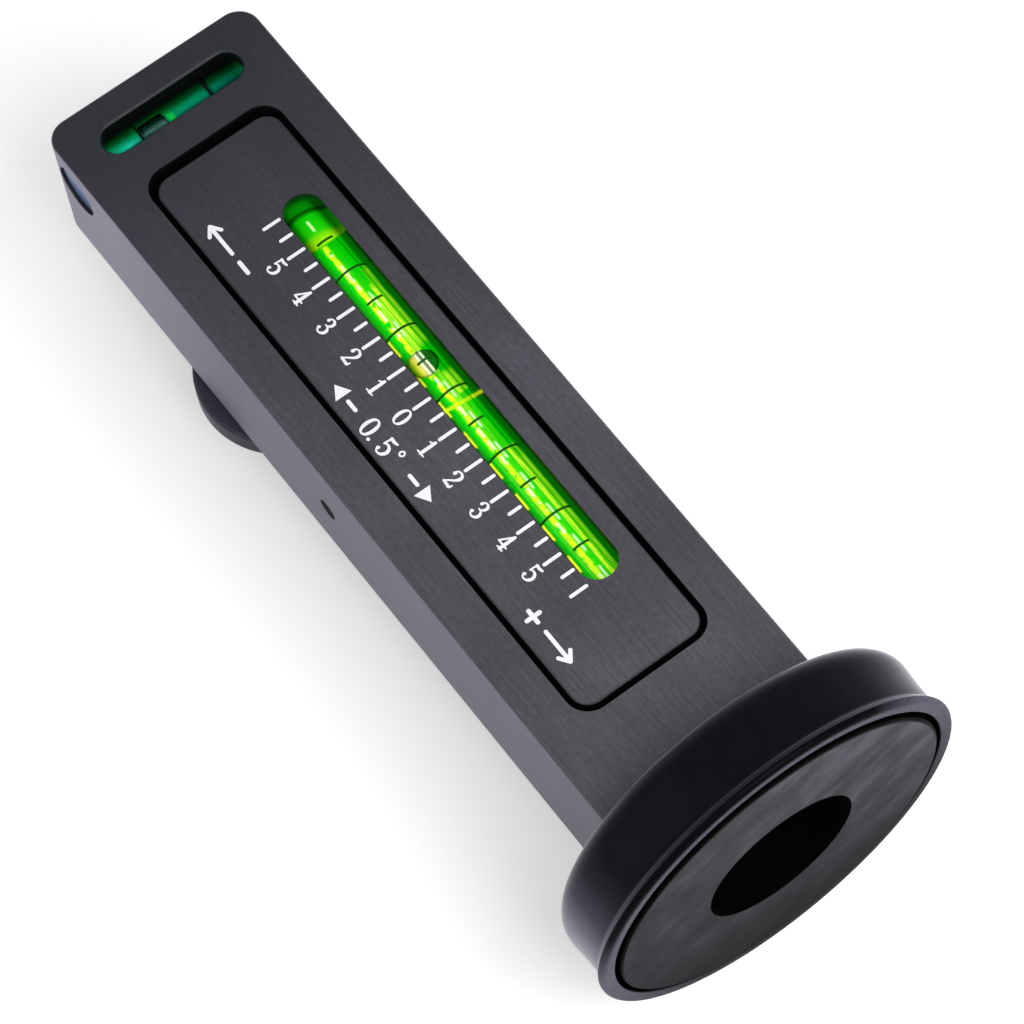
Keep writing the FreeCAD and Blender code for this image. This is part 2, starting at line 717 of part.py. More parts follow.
vial_set("caster", d.caster_zero, d.caster_vial_length, caster_vial_z)
caster_liquid_length = d.caster_vial_length - (d.plug_length + d.snug) * 2
liquid_pool("caster_liquid", liquid_radius, caster_liquid_length, pool_top,
            d.vial_x, d.caster_zero - caster_liquid_length / 2, caster_vial_z, ALONG_BAR)
air_bubble("caster_bubble", d.bubble_length, d.bubble_width, d.bubble_height, True,
           d.vial_x, d.caster_zero, caster_vial_z + d.bubble_rise)
vial_bed("caster_vial_bed", d.caster_zero, d.caster_vial_length, caster_vial_z,
         -(cradle_inner - d.pin_z) - d.snug)

pin_start = d.pin_mouth_depth - d.bar_width / 2
keep_node(rod("pivot_pin", d.pin_dia, d.pin_end - pin_start - d.snug * 2,
              x=pin_start + d.snug, y=d.scale_zero, z=d.pin_z, turn=ACROSS_BAR))

# ---------------------------------------------------------------- zero wheel
# The wheel's frame lies on its outer face, with its own Z towards the bar.
wheel_outer = -(d.wheel_face + d.wheel_thickness)
wheel_axis = {"x": d.wheel_x, "y": d.wheel_y}
zero_wheel = new_body("zero_wheel", z=wheel_outer, **wheel_axis)
shank = d.screw_dia / 2 + d.snug
head = d.screw_head_dia / 2 + d.snug
disc = turned(zero_wheel, [
    (head, 0), (d.wheel_dish_hub_dia / 2, 0), (d.wheel_dish_hub_dia / 2, d.wheel_dish_depth),
    (d.wheel_dish_dia / 2, d.wheel_dish_depth), (d.wheel_dish_dia / 2, 0),
    (d.wheel_dia / 2, 0), (d.wheel_dia / 2, d.wheel_thickness),
    (d.hub_dia / 2, d.wheel_thickness), (d.hub_dia / 2, d.wheel_thickness + d.hub_height),
    (shank, d.wheel_thickness + d.hub_height), (shank, head_height)])
rims = (ring_edges(disc, d.wheel_dia.value / 2, 0)
        + ring_edges(disc, d.wheel_dia.value / 2, d.wheel_thickness.value))
dress(zero_wheel, "Fillet", disc, rims, d.wheel_edge)
keep_node(zero_wheel)

screw_length = d.screw_tip - wheel_outer
clip_height = d.clip_level - wheel_outer
zero_screw = new_body("zero_screw", z=wheel_outer, **wheel_axis)
turned(zero_screw, [
    (0, 0), (d.screw_head_dia / 2, 0), (d.screw_dia / 2, head_height),
    (d.screw_dia / 2, clip_height), (d.groove_dia / 2, clip_height),
    (d.groove_dia / 2, clip_height + d.clip_thickness),
    (d.screw_dia / 2, clip_height + d.clip_thickness),
    (d.screw_dia / 2, screw_length), (0, screw_length)])
sketch = new_sketch(zero_screw, "XY_Plane")
draw_rectangle(sketch, -d.drive_slot / 2, -d.screw_head_dia, d.drive_slot / 2, d.screw_head_dia)
pocket(zero_screw, sketch, d.drive_slot, reverse=True)
keep_node(zero_screw)

# open spring clip in the screw's groove, which stops the wheel from being wound off
screw_clip = tube("screw_clip", d.clip_dia, d.groove_dia + d.snug * 2,
                  d.clip_thickness - d.snug * 2, z=d.clip_level + d.snug, **wheel_axis)
sketch = new_sketch(screw_clip, "XY_Plane")
draw_rectangle(sketch, -d.groove_dia / 3, 0, d.groove_dia / 3, d.clip_dia)
pocket(screw_clip, sketch, d.clip_thickness, reverse=True)
keep_node(screw_clip)

keep_node(tube("thrust_washer", d.washer_dia, d.screw_dia + d.running * 2,
               d.washer_thickness - d.snug, z=-(d.wheel_face - d.hub_height) + d.snug,
               **wheel_axis))

# compression spring between the web and the bottom of the cradle's well
zero_spring = new_body("zero_spring", z=-d.spring_seat + d.spring_wire / 2 + d.snug, **wheel_axis)
sketch = new_sketch(zero_spring, "XZ_Plane")
draw_circle(sketch, (d.spring_dia - d.spring_wire) / 2, 0, d.spring_wire)
coil = zero_spring.newObject("PartDesign::AdditiveHelix", "AdditiveHelix")
coil.Profile = sketch
coil.ReferenceAxis = (sketch, ["V_Axis"])
coil.Mode = "height-turns-angle"
spring_height = d.spring_seat - d.web_rear - d.spring_wire - d.snug * 2
bind(coil, "Height", spring_height)
bind(coil, "Turns", d.spring_turns)
bind(coil, "Pitch", spring_height / d.spring_turns)
coil.Angle = 0
coil.Growth = 0
doc.recompute()
keep_node(zero_spring)

# ---------------------------------------------------------------- cross level
level_start = d.level_vial_x - d.level_vial_length / 2
level_place = {"y": d.level_y, "z": d.level_z, "turn": ACROSS_BAR}
keep_node(tube("level_vial", d.level_vial_dia, d.level_vial_bore, d.level_vial_length,
               x=level_start, **level_place))
level_plug = rod("level_plug", d.level_vial_bore - d.snug * 2, d.level_plug_length,
                 x=level_start, **level_place)
keep_node(mirrored_pair("level_vial_plugs", level_plug, Vector(1, 0, 0), (d.level_vial_x, 0, 0)))
level_liquid_length = d.level_vial_length - (d.level_plug_length + d.snug) * 2
liquid_pool("level_liquid", d.level_vial_bore / 2 - d.snug, level_liquid_length,
            d.level_bubble_rise - d.level_bubble_height / 2 - d.bubble_room,
            d.level_vial_x - level_liquid_length / 2, d.level_y, d.level_z, ACROSS_BAR)
air_bubble("level_bubble", d.level_bubble_length, d.level_bubble_width, d.level_bubble_height,
           False, d.level_bubble_x, d.level_y, d.level_z + d.level_bubble_rise)
keep_node(rod("bore_plug", d.level_bore - d.snug * 2, d.bore_plug_length,
              x=d.bore_plug_recess - d.bar_width / 2, **level_place))

# ---------------------------------------------------------------- magnetic foot
ring_magnet = tube("ring_magnet", d.magnet_dia, d.magnet_bore, d.magnet_thickness, turn=ALONG_BAR)
ring = ring_magnet.Tip
dress(ring_magnet, "Chamfer", ring,
      ring_edges(ring, d.magnet_dia.value / 2, 0)
      + ring_edges(ring, d.magnet_dia.value / 2, d.magnet_thickness.value), d.magnet_edge)
keep_node(ring_magnet)

foot_head_height = (d.foot_screw_head_dia - d.foot_screw_dia) / 2
foot_head = d.foot_screw_head_dia / 2 + d.snug
foot_shank = d.foot_screw_dia / 2 + d.snug
backing_plate = new_body("backing_plate", y=d.magnet_thickness, turn=ALONG_BAR)
turned(backing_plate, [
    (foot_head, 0), (d.plate_dia / 2, 0), (d.plate_dia / 2, d.plate_thickness),
    (foot_shank, d.plate_thickness), (foot_shank, foot_head_height)])
keep_node(backing_plate)

foot_screw = new_body("foot_screw", y=d.magnet_thickness, turn=ALONG_BAR)
foot_screw_length = d.foot_screw_end - d.magnet_thickness
turned(foot_screw, [
    (0, 0), (d.foot_screw_head_dia / 2, 0), (d.foot_screw_dia / 2, foot_head_height),
    (d.foot_screw_dia / 2, foot_screw_length), (0, foot_screw_length)])
sketch = new_sketch(foot_screw, "XY_Plane")
hex_radius = d.hex_drive / math.sqrt(3)
draw_polygon(sketch, [(hex_radius * math.cos(math.radians(60 * corner)),
                       hex_radius * math.sin(math.radians(60 * corner))) for corner in range(6)])
pocket(foot_screw, sketch, foot_head_height * 0.8, reverse=True)
keep_node(foot_screw)

# Rubber boot: lip around the magnet's face, shallow waist, rounded shoulder, flat back.
magnet_boot = new_body("magnet_boot", turn=ALONG_BAR)
boot_floor = d.magnet_thickness + d.plate_thickness
boot = turned(magnet_boot, [
    (foot_shank, boot_floor), (d.boot_inner_dia / 2, boot_floor),
    (d.boot_inner_dia / 2, d.boot_mouth), (d.boot_lip_dia / 2, d.boot_mouth),
    (d.boot_lip_dia / 2, d.boot_lip_end), (d.boot_waist_dia / 2, d.boot_waist_start),
    (d.boot_waist_dia / 2, d.boot_waist_end), (d.boot_wall_dia / 2, d.boot_wall_start),
    (d.boot_wall_dia / 2, d.bar_start), (foot_shank, d.bar_start)])
boot = dress(magnet_boot, "Fillet", boot,
             ring_edges(boot, d.boot_wall_dia.value / 2, d.bar_start.value), d.boot_shoulder)
boot = dress(magnet_boot, "Fillet", boot,
             ring_edges(boot, d.boot_waist_dia.value / 2, d.boot_waist_start.value)
             + ring_edges(boot, d.boot_waist_dia.value / 2, d.boot_waist_end.value)
             + ring_edges(boot, d.boot_wall_dia.value / 2, d.boot_wall_start.value),
             d.boot_waist_round)
dress(magnet_boot, "Fillet", boot,
      ring_edges(boot, d.boot_lip_dia.value / 2, d.boot_mouth.value)
      + ring_edges(boot, d.boot_lip_dia.value / 2, d.boot_lip_end.value), d.boot_lip_round)
keep_node(magnet_boot)

# ---------------------------------------------------------------- check and export
doc.recompute()
for feature in doc.Objects:
    if "Invalid" in feature.State or "Error" in feature.State:
        raise RuntimeError("%s is %s" % (feature.Name, feature.State))
for node in NODES:
    shape = node.Shape
    if shape.isNull() or not shape.isValid() or shape.Volume < 1e-3:
        raise RuntimeError(node.Label + " has no valid solid")

os.makedirs("parts", exist_ok=True)
for node in NODES:
    node.Shape.exportStep("parts/%s.step" % node.Label)
    box = node.Shape.BoundBox
    print("%-22s solids %d volume %9.2f  x %.2f..%.2f  y %.2f..%.2f  z %.2f..%.2f" % (
        node.Label, len(node.Shape.Solids), node.Shape.Volume,
        box.XMin, box.XMax, box.YMin, box.YMax, box.ZMin, box.ZMax))
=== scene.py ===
"""A magnetic camber and caster gauge: its finishes, its vials and the figures on its two scales."""

import math

import bmesh
import bpy
from mathutils import Matrix, Vector


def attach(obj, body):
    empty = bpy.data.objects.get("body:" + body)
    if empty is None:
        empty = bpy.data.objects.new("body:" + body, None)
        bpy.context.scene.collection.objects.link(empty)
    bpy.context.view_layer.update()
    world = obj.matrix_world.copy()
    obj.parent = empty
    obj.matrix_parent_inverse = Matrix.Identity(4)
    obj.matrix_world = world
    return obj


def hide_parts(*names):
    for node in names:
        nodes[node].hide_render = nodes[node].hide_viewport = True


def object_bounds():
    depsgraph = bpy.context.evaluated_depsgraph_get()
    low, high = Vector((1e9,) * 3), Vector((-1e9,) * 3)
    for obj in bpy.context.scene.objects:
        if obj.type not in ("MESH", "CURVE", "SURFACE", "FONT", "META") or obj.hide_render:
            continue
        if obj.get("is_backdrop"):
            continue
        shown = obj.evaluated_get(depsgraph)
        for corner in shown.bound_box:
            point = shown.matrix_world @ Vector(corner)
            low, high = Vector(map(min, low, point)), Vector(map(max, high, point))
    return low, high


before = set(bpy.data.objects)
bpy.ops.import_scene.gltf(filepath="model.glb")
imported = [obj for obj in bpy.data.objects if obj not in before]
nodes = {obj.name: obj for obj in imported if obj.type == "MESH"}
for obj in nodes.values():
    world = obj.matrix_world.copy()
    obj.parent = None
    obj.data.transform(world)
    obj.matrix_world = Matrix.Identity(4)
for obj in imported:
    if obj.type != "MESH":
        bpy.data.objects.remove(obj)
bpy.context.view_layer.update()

MM = 0.001

# Places on the gauge, in millimetres in the gauge's own frame.
HALF_WIDTH = 15.0
BAR_END = 125.75
BAR_CORNER = 3.0            # rounding of the bar's two corners at its free end
CAMBER_FACE = 8.5
CASTER_FACE = -10.5
SCALE_ZERO = 67.53          # zero of the camber scale, along the bar
DEGREE = 5.09               # one degree on the camber scale
CASTER_ZERO = 54.5
CASTER_DEGREE = 4.2
VIAL_X = 3.72
CAMBER_VIAL_Z = 4.55
CASTER_VIAL_Z = -6.55
VIAL_RADIUS = 2.75
LEVEL_Y = 119.55
LEVEL_Z = 3.0
LEVEL_RADIUS = 3.4
CAMBER_BUBBLE_Y = 73.15     # where the bubbles rest
LEVEL_BUBBLE_X = -3.05
BUBBLE_RISE = 0.75          # how far a bubble's middle is off its vial's axis, towards the window
LEVEL_BUBBLE_RISE = 1.0
WHEEL_X, WHEEL_Y = -5.6, 92.3
BOOT_REACH = 24.0           # how far up and down from the foot's axis the tones of the boot run
RING_REACH = 22.0           # and those of the ring magnet
INK = 0.02                  # thickness of the printed ink
INK_STEP = 0.0008           # marks that cross differ in height by this much, so that no faces coincide
INK_ROOT = -0.003           # how far ink reaches into the face it is printed on

# Slants along which the windows are seen, on which the painted light in them is laid: millimetres across
# and along the bar for each of depth.
VIAL_SLANT = (0.245, 0.461)
LEVEL_SLANT = (0.237, 0.574)
# Stretches over which the light in a vial is drawn: across a long vial, along it and at its far end,
# and the same two ways for the cross level, whose length lies across the bar.
ACROSS_VIAL = (1.0, 6.4)
ALONG_VIAL = (36.0, 100.0)
FAR_END = (90.0, 100.0)
ALONG_LEVEL = (-10.0, 10.0)
ACROSS_LEVEL = (117.0, 121.0)
# Strength of the light that the tubes and windows, the green liquid and the cross level give off.
TUBE_GLOW = 0.3
LIQUID_GLOW = 0.35
LEVEL_GLOW = 0.55


def placed(name, data):
    """A new object in the scene that holds the given data."""
    made = bpy.data.objects.new(name, data)
    bpy.context.scene.collection.objects.link(made)
    return made


def skin(mesh, rows, closed=False):
    """Faces between neighbouring rows of corners, each a loop. closed joins the last row to the first."""
    faces = []
    for row, other in zip(rows, rows[1:] + (rows[:1] if closed else [])):
        for i in range(len(row)):
            j = (i + 1) % len(row)
            faces.append(mesh.faces.new((row[i], row[j], other[j], other[i])))
    return faces


def mesh_piece(name, mesh, *materials, sharp_from=None):
    """A piece out of a finished bmesh, with its faces turned outward, and its finishes."""
    bmesh.ops.recalc_face_normals(mesh, faces=mesh.faces)
    data = bpy.data.meshes.new(name)
    mesh.to_mesh(data)
    mesh.free()
    if sharp_from:
        data.set_sharp_from_angle(angle=math.radians(sharp_from))
    for material in materials:
        data.materials.append(material)
    return placed(name, data)


# ---------------------------------------------------------------- finishes

def linear(hex_colour):
    """An sRGB hex colour as linear red, green, blue and alpha."""
    channels = [int(hex_colour[i:i + 2], 16) / 255 for i in (0, 2, 4)]
    return (*[c / 12.92 if c <= 0.04045 else ((c + 0.055) / 1.055) ** 2.4 for c in channels], 1.0)


def feed(tree, node, inputs):
    """Gives a node's sockets, by name or number, their values or what feeds them. A node feeds them
    from the first output that its settings leave it."""
    for socket, value in dict(inputs).items():
        if isinstance(value, bpy.types.Node):
            value = next(output for output in value.outputs if output.enabled)
        if isinstance(value, bpy.types.NodeSocket):
            tree.links.new(value, node.inputs[socket])
        else:
            node.inputs[socket].default_value = value


def add(tree, kind, inputs=(), stops=(), **settings):
    """Adds one node with its settings, what feeds it and, for a colour ramp, its stops."""
    made = tree.nodes.new("ShaderNode" + kind)
    for name, value in settings.items():
        setattr(made, name, value)
    feed(tree, made, inputs)
    for i, (place, colour) in enumerate(stops):
        ramp = made.color_ramp.elements
        stop = ramp[i] if i < len(ramp) else ramp.new(place)
        stop.position, stop.color = place, linear(colour)
    return made


# Settings of a Mix node: blending two colours, or multiplying them.
COLOURS = {"data_type": "RGBA"}
MULTIPLIED = {"data_type": "RGBA", "blend_type": "MULTIPLY"}


def new_finish(name):
    """A new material with its node tree and its surface shader."""
    material = bpy.data.materials.new(name)
    material.use_nodes = True
    return material, material.node_tree, material.node_tree.nodes["Principled BSDF"]


def coordinates(tree):
    """Where a point of a finish lies on the gauge along x, y and z, in metres."""
    return add(tree, "SeparateXYZ", {0: add(tree, "TexCoord").outputs["Object"]}).outputs


def grain(tree, size, detail=3.0, turn=(0.0, 0.0, 0.0)):
    """Noise whose grains are size millimetres along x, y and z, after a turn of the grain."""
    place = add(tree, "TexCoord").outputs["Object"]
    spread = add(tree, "Mapping", {"Vector": place, "Rotation": turn, "Scale": [s * MM for s in size]},
                 vector_type="TEXTURE")
    return add(tree, "TexNoise", {"Vector": spread, "Scale": 1.0, "Detail": detail, "Roughness": 0.55})


def depth_in(tree, z):
    """How deep a height lies below the nearer of the gauge's two faces, in metres."""
    below = add(tree, "Math", {0: CAMBER_FACE * MM, 1: z}, operation="SUBTRACT")
    above = add(tree, "Math", {0: z, 1: CASTER_FACE * MM}, operation="SUBTRACT")
    return add(tree, "Math", {0: below, 1: above}, operation="MINIMUM")


def distance_from_axis(tree, place, across, centre=(0, 0, 0)):
    """How far a place is from an axis through centre: across is 0 along the axis and 1 off it."""
    moved = add(tree, "VectorMath", {0: place, 1: centre}, operation="SUBTRACT")
    flat = add(tree, "VectorMath", {0: moved, 1: across}, operation="MULTIPLY")
    return add(tree, "VectorMath", {0: flat}, operation="LENGTH")


def turned_black_anodising():
    """Aluminium wheel, turned on a lathe and anodised black: fine rings round the wheel's screw."""
    material, tree, shader = new_finish("turned_black_anodising")
    place = add(tree, "TexCoord").outputs["Object"]
    radius = distance_from_axis(tree, place, (1, 1, 0), (WHEEL_X * MM, WHEEL_Y * MM, 0))
    cuts = add(tree, "Math", {0: radius, 1: 0.2 * MM}, operation="DIVIDE")
    rings = add(tree, "TexNoise", {"W": cuts, "Scale": 1.0, "Detail": 2.0}, noise_dimensions="1D")
    worn = add(tree, "Mix", {0: 0.5, 2: rings, 3: grain(tree, (1.5, 1.5, 1.5))})
    feed(tree, shader, {
        "Base Color": add(tree, "ValToRGB", {0: worn}, [(0.3, "35323d"), (0.7, "484452")]),
        "Specular IOR Level": 0.06, "IOR": 1.5,
        "Roughness": add(tree, "MapRange", {0: worn, 1: 0.3, 2: 0.7, 3: 0.36, 4: 0.5}),
        "Normal": add(tree, "Bump", {"Height": rings, "Distance": 0.003 * MM})})
    return material


def slanted(tree, slant):
    """Places across and along the gauge in millimetres, led back to the nearer face on the slant along
    which a window is seen, so that painted marks on a vial and in it line up."""
    x, y, z = coordinates(tree)
    depth = depth_in(tree, z)
    places = []
    for start, lean in zip((x, y), slant):
        place = add(tree, "Math", {0: depth, 1: -lean, 2: start}, operation="MULTIPLY_ADD")
        places.append(add(tree, "Math", {0: place, 1: MM}, operation="DIVIDE"))
    return places


def belt(tree, place, stretch, levels):
    """A mask over a stretch of a place in millimetres: levels gives each place its strength, 0 to 1."""
    low, high = stretch
    spot = add(tree, "MapRange", {0: place, 1: low, 2: high})
    return add(tree, "ValToRGB", {0: spot}, [
        ((at - low) / (high - low), format(round(level * 255), "02x") * 3) for at, level in levels])


def patch(tree, places, stretches, across, along):
    """A mask over a patch of a vial: the strengths across it times the strengths along it."""
    belts = [belt(tree, *given) for given in zip(places, stretches, (across, along))]
    return add(tree, "Math", {0: belts[0], 1: belts[1]}, operation="MULTIPLY")


def light_streaks(tree):
    """The streaks of light that run lengthwise in a fluorescent vial: green, yellow and nearly white,
    with a yellow length in front of the plug at the far end and the plug's shade behind it."""
    across, along = slanted(tree, VIAL_SLANT)
    noises = []
    for width, length in ((0.17, 4.5), (0.6, 1.1), (9.0, 1.3)):
        spots = add(tree, "CombineXYZ", {0: add(tree, "Math", {0: across, 1: width}, operation="DIVIDE"),
                                         1: add(tree, "Math", {0: along, 1: length}, operation="DIVIDE")})
        noises.append(add(tree, "TexNoise", {"Vector": spots, "Scale": 1.0, "Detail": 1.0}))
    threads, blots, glints = noises
    wavy = add(tree, "Math", {0: across, 1: add(tree, "MapRange", {0: blots, 3: -0.22, 4: 0.22})})
    # where each place lies between two rings of the scale, 0 to 1
    turns = add(tree, "Math", {0: along, 1: 1 / DEGREE, 2: 20.1 - SCALE_ZERO / DEGREE},
                operation="MULTIPLY_ADD")
    phase = add(tree, "Math", {0: turns}, operation="FRACT")

    # across the vial the light is painted darker towards both sides, and black at the window's far edge
    width = add(tree, "MapRange", {0: across, 1: ACROSS_VIAL[0], 2: ACROSS_VIAL[1]})
    colour = add(tree, "ValToRGB", {0: width}, [
        (0.0, "143c14"), (0.04, "166416"), (0.08, "0c900c"), (0.15, "06ae0a"), (0.22, "0cc808"),
        (0.34, "10d00a"), (0.55, "08cc08"), (0.66, "05d606"), (0.71, "05cc06"), (0.75, "03b203"),
        (0.79, "029002"), (0.85, "028402"), (0.89, "067006"), (0.92, "034803"), (0.945, "010c01")])
    # each streak: its colour, the places across and along at which it shows, and what breaks it up
    for tone, side, lengths, breaks in (
            ("46be1e", [(1.9, 0), (2.0, 1), (2.4, 1), (2.5, 0)],
             [(36, 1), (56, 0.9), (58, 0), (66, 0)], None),
            ("84d81c", [(4.42, 0), (4.5, 0.8), (4.66, 0.6), (4.76, 1), (5.16, 1), (5.32, 0)],
             [(36, 1), (56.6, 1), (57, 0), (65.8, 0), (66, 1), (68.8, 1), (69.6, 0), (73.6, 0),
              (74.6, 1), (86, 1), (87, 0)], threads),
            ("eaf83e", [(3.94, 0), (4.08, 1), (4.44, 1), (4.58, 0)],
             [(36, 1), (56.6, 1), (57, 0.25), (65.8, 0.25), (66, 1), (68.8, 1), (69.6, 0), (73.6, 0),
              (74.6, 1), (83.5, 1), (84.5, 0.15), (87, 0)], threads),
            ("c6f038", [(3.2, 0), (3.34, 1), (3.82, 1), (3.96, 0)],
             [(36, 0.3), (57, 0.3), (64, 0.7), (72, 0.7), (74, 1), (82, 1), (83, 0.25), (92, 0)],
             threads),
            ("ecf626", [(2.36, 0), (2.54, 1), (3.02, 1), (3.26, 0)],
             [(36, 0.95), (58, 0.9), (66, 1), (91.8, 1), (92, 0)], blots),
            ("6a4a08", [(1.02, 0), (1.08, 1), (1.16, 1), (1.22, 0)],
             [(36, 0.9), (77, 0.7), (79, 0)], phase),
            ("f0ea2a", [(1.16, 0), (1.24, 1), (1.42, 1), (1.54, 0)],
             [(36, 1), (77, 0.9), (79, 0)], phase)):
        mask = patch(tree, (wavy if breaks is blots else across, along), (ACROSS_VIAL, ALONG_VIAL),
                     side, lengths)
        if breaks is phase:
            broken = belt(tree, phase, (0.0, 1.0), [(0.36, 0), (0.42, 1), (0.86, 1), (0.92, 0)])
            mask = add(tree, "Math", {0: mask, 1: broken}, operation="MULTIPLY")
        elif breaks:
            broken = add(tree, "MapRange", {0: breaks, 1: 0.33, 2: 0.45})
            mask = add(tree, "Math", {0: mask, 1: broken}, operation="MULTIPLY")
        colour = add(tree, "Mix", {0: mask, 6: colour, 7: linear(tone)}, **COLOURS)
    # white gleams: in short lengths over the yellow streak, and next to each ring over the one above it
    glinting = add(tree, "MapRange", {0: glints, 1: 0.5, 2: 0.56})
    by_ring = belt(tree, phase, (0.0, 1.0), [(0, 1), (0.22, 1), (0.3, 0), (0.72, 0), (0.8, 1)])
    for side, lengths, shown in (
            ([(2.62, 0), (2.76, 1), (2.96, 1), (3.1, 0)], [(36, 0.9), (92.2, 0.9), (92.4, 0)], glinting),
            ([(3.24, 0), (3.36, 1), (3.52, 1), (3.66, 0)], [(36, 0.9), (83, 0.9), (84, 0)], by_ring)):
        mask = patch(tree, (across, along), (ACROSS_VIAL, ALONG_VIAL), side, lengths)
        mask = add(tree, "Math", {0: mask, 1: shown}, operation="MULTIPLY")
        colour = add(tree, "Mix", {0: mask, 6: colour, 7: linear("f8ffe6")}, **COLOURS)
    # a bright line all the way across, where the tube's light turns
    bent = add(tree, "Math", {0: across, 1: 0.09, 2: along}, operation="MULTIPLY_ADD")
    line = belt(tree, bent, (60.0, 70.0), [(64.75, 0), (64.95, 0.9), (65.2, 0.9), (65.45, 0)])
    colour = add(tree, "Mix", {0: line, 6: colour, 7: linear("dee81a")}, **COLOURS)
    # the far end, whose bands curve round the tube
    aside = add(tree, "Math", {0: across, 1: 2.9}, operation="SUBTRACT")
    bow = add(tree, "Math", {0: aside, 1: aside}, operation="MULTIPLY")
    crown = add(tree, "Math", {0: bow, 1: 0.09, 2: along}, operation="MULTIPLY_ADD")
    end = add(tree, "MapRange", {0: crown, 1: FAR_END[0], 2: FAR_END[1]})
    end_colour = add(tree, "ValToRGB", {0: end}, [
        (0.0, "98ec0c"), (0.28, "94e60c"), (0.4, "20cc0a"), (0.65, "0abc08"), (0.69, "067006"),
        (0.72, "034403"), (0.76, "058608"), (0.84, "047c06"), (0.91, "024404"), (0.97, "010c01")])
    # painted shade: the far end is darker towards both sides of the tube
    flanks = add(tree, "ValToRGB", {0: width}, [(0.04, "808080"), (0.2, "e8e8e8"), (0.6, "f2f2f2"),
                                                (0.7, "e4e4e4"), (0.78, "b4b4b4"), (0.95, "808080")])
    end_colour = add(tree, "Mix", {0: 1.0, 6: end_colour, 7: flanks}, **MULTIPLIED)
    gleam = patch(tree, (across, along), (ACROSS_VIAL, FAR_END),
                  [(2.98, 0), (3.12, 1), (3.28, 1), (3.44, 0)],
                  [(94, 0), (94.4, 0.9), (95.6, 0.9), (96, 0)])
    end_colour = add(tree, "Mix", {0: gleam, 6: end_colour, 7: linear("d8fca8")}, **COLOURS)
    past = belt(tree, along, FAR_END, [(91.9, 0), (92.05, 1)])
    return add(tree, "Mix", {0: past, 6: colour, 7: end_colour}, **COLOURS)


def tube_surface(tree, shader, solid, light, clear, surface):
    """The polished surface of a tube: clear over the liquid, and full of its light where it is solid."""
    tinted = add(tree, "MapRange", {0: solid, 2: 0.05})
    feed(tree, shader, {
        "Base Color": add(tree, "Mix", {0: tinted, 6: linear(clear), 7: light}, **COLOURS),
        "Emission Color": add(tree, "Mix", {0: solid, 6: linear("000000"), 7: light}, **COLOURS),
        "Transmission Weight": add(tree, "Math", {0: 1.0, 1: solid}, operation="SUBTRACT"),
        "Roughness": 0.03, **surface})


def fluorescent_acrylic():
    """Green acrylic tube, polished: clear over the liquid, with its own green light in its flanks and
    at its far end."""
    material, tree, shader = new_finish("fluorescent_acrylic")
    across, along = slanted(tree, VIAL_SLANT)
    flank = belt(tree, across, ACROSS_VIAL, [(1.1, 1), (1.16, 0), (4.84, 0), (4.9, 1)])
    end = belt(tree, along, FAR_END, [(91.9, 0), (91.96, 1)])
    solid = add(tree, "Math", {0: flank, 1: end}, operation="MAXIMUM")
    # filled with liquid, the tube bends light little
    tube_surface(tree, shader, solid, light_streaks(tree), "f4fff0", {
        "Emission Strength": TUBE_GLOW, "IOR": 1.06, "Specular IOR Level": 0.2})
    return material


def vial_filling(name, draw_light, glow):
    """Dyed vial liquid that glows, or a clear stopper that takes its light."""
    material, tree, shader = new_finish(name)
    light = draw_light(tree)
    feed(tree, shader, {
        "Base Color": light, "Emission Color": light, "Emission Strength": glow, "Roughness": 0.2,
        "IOR": 1.36, "Specular IOR Level": 0.1})
    return material


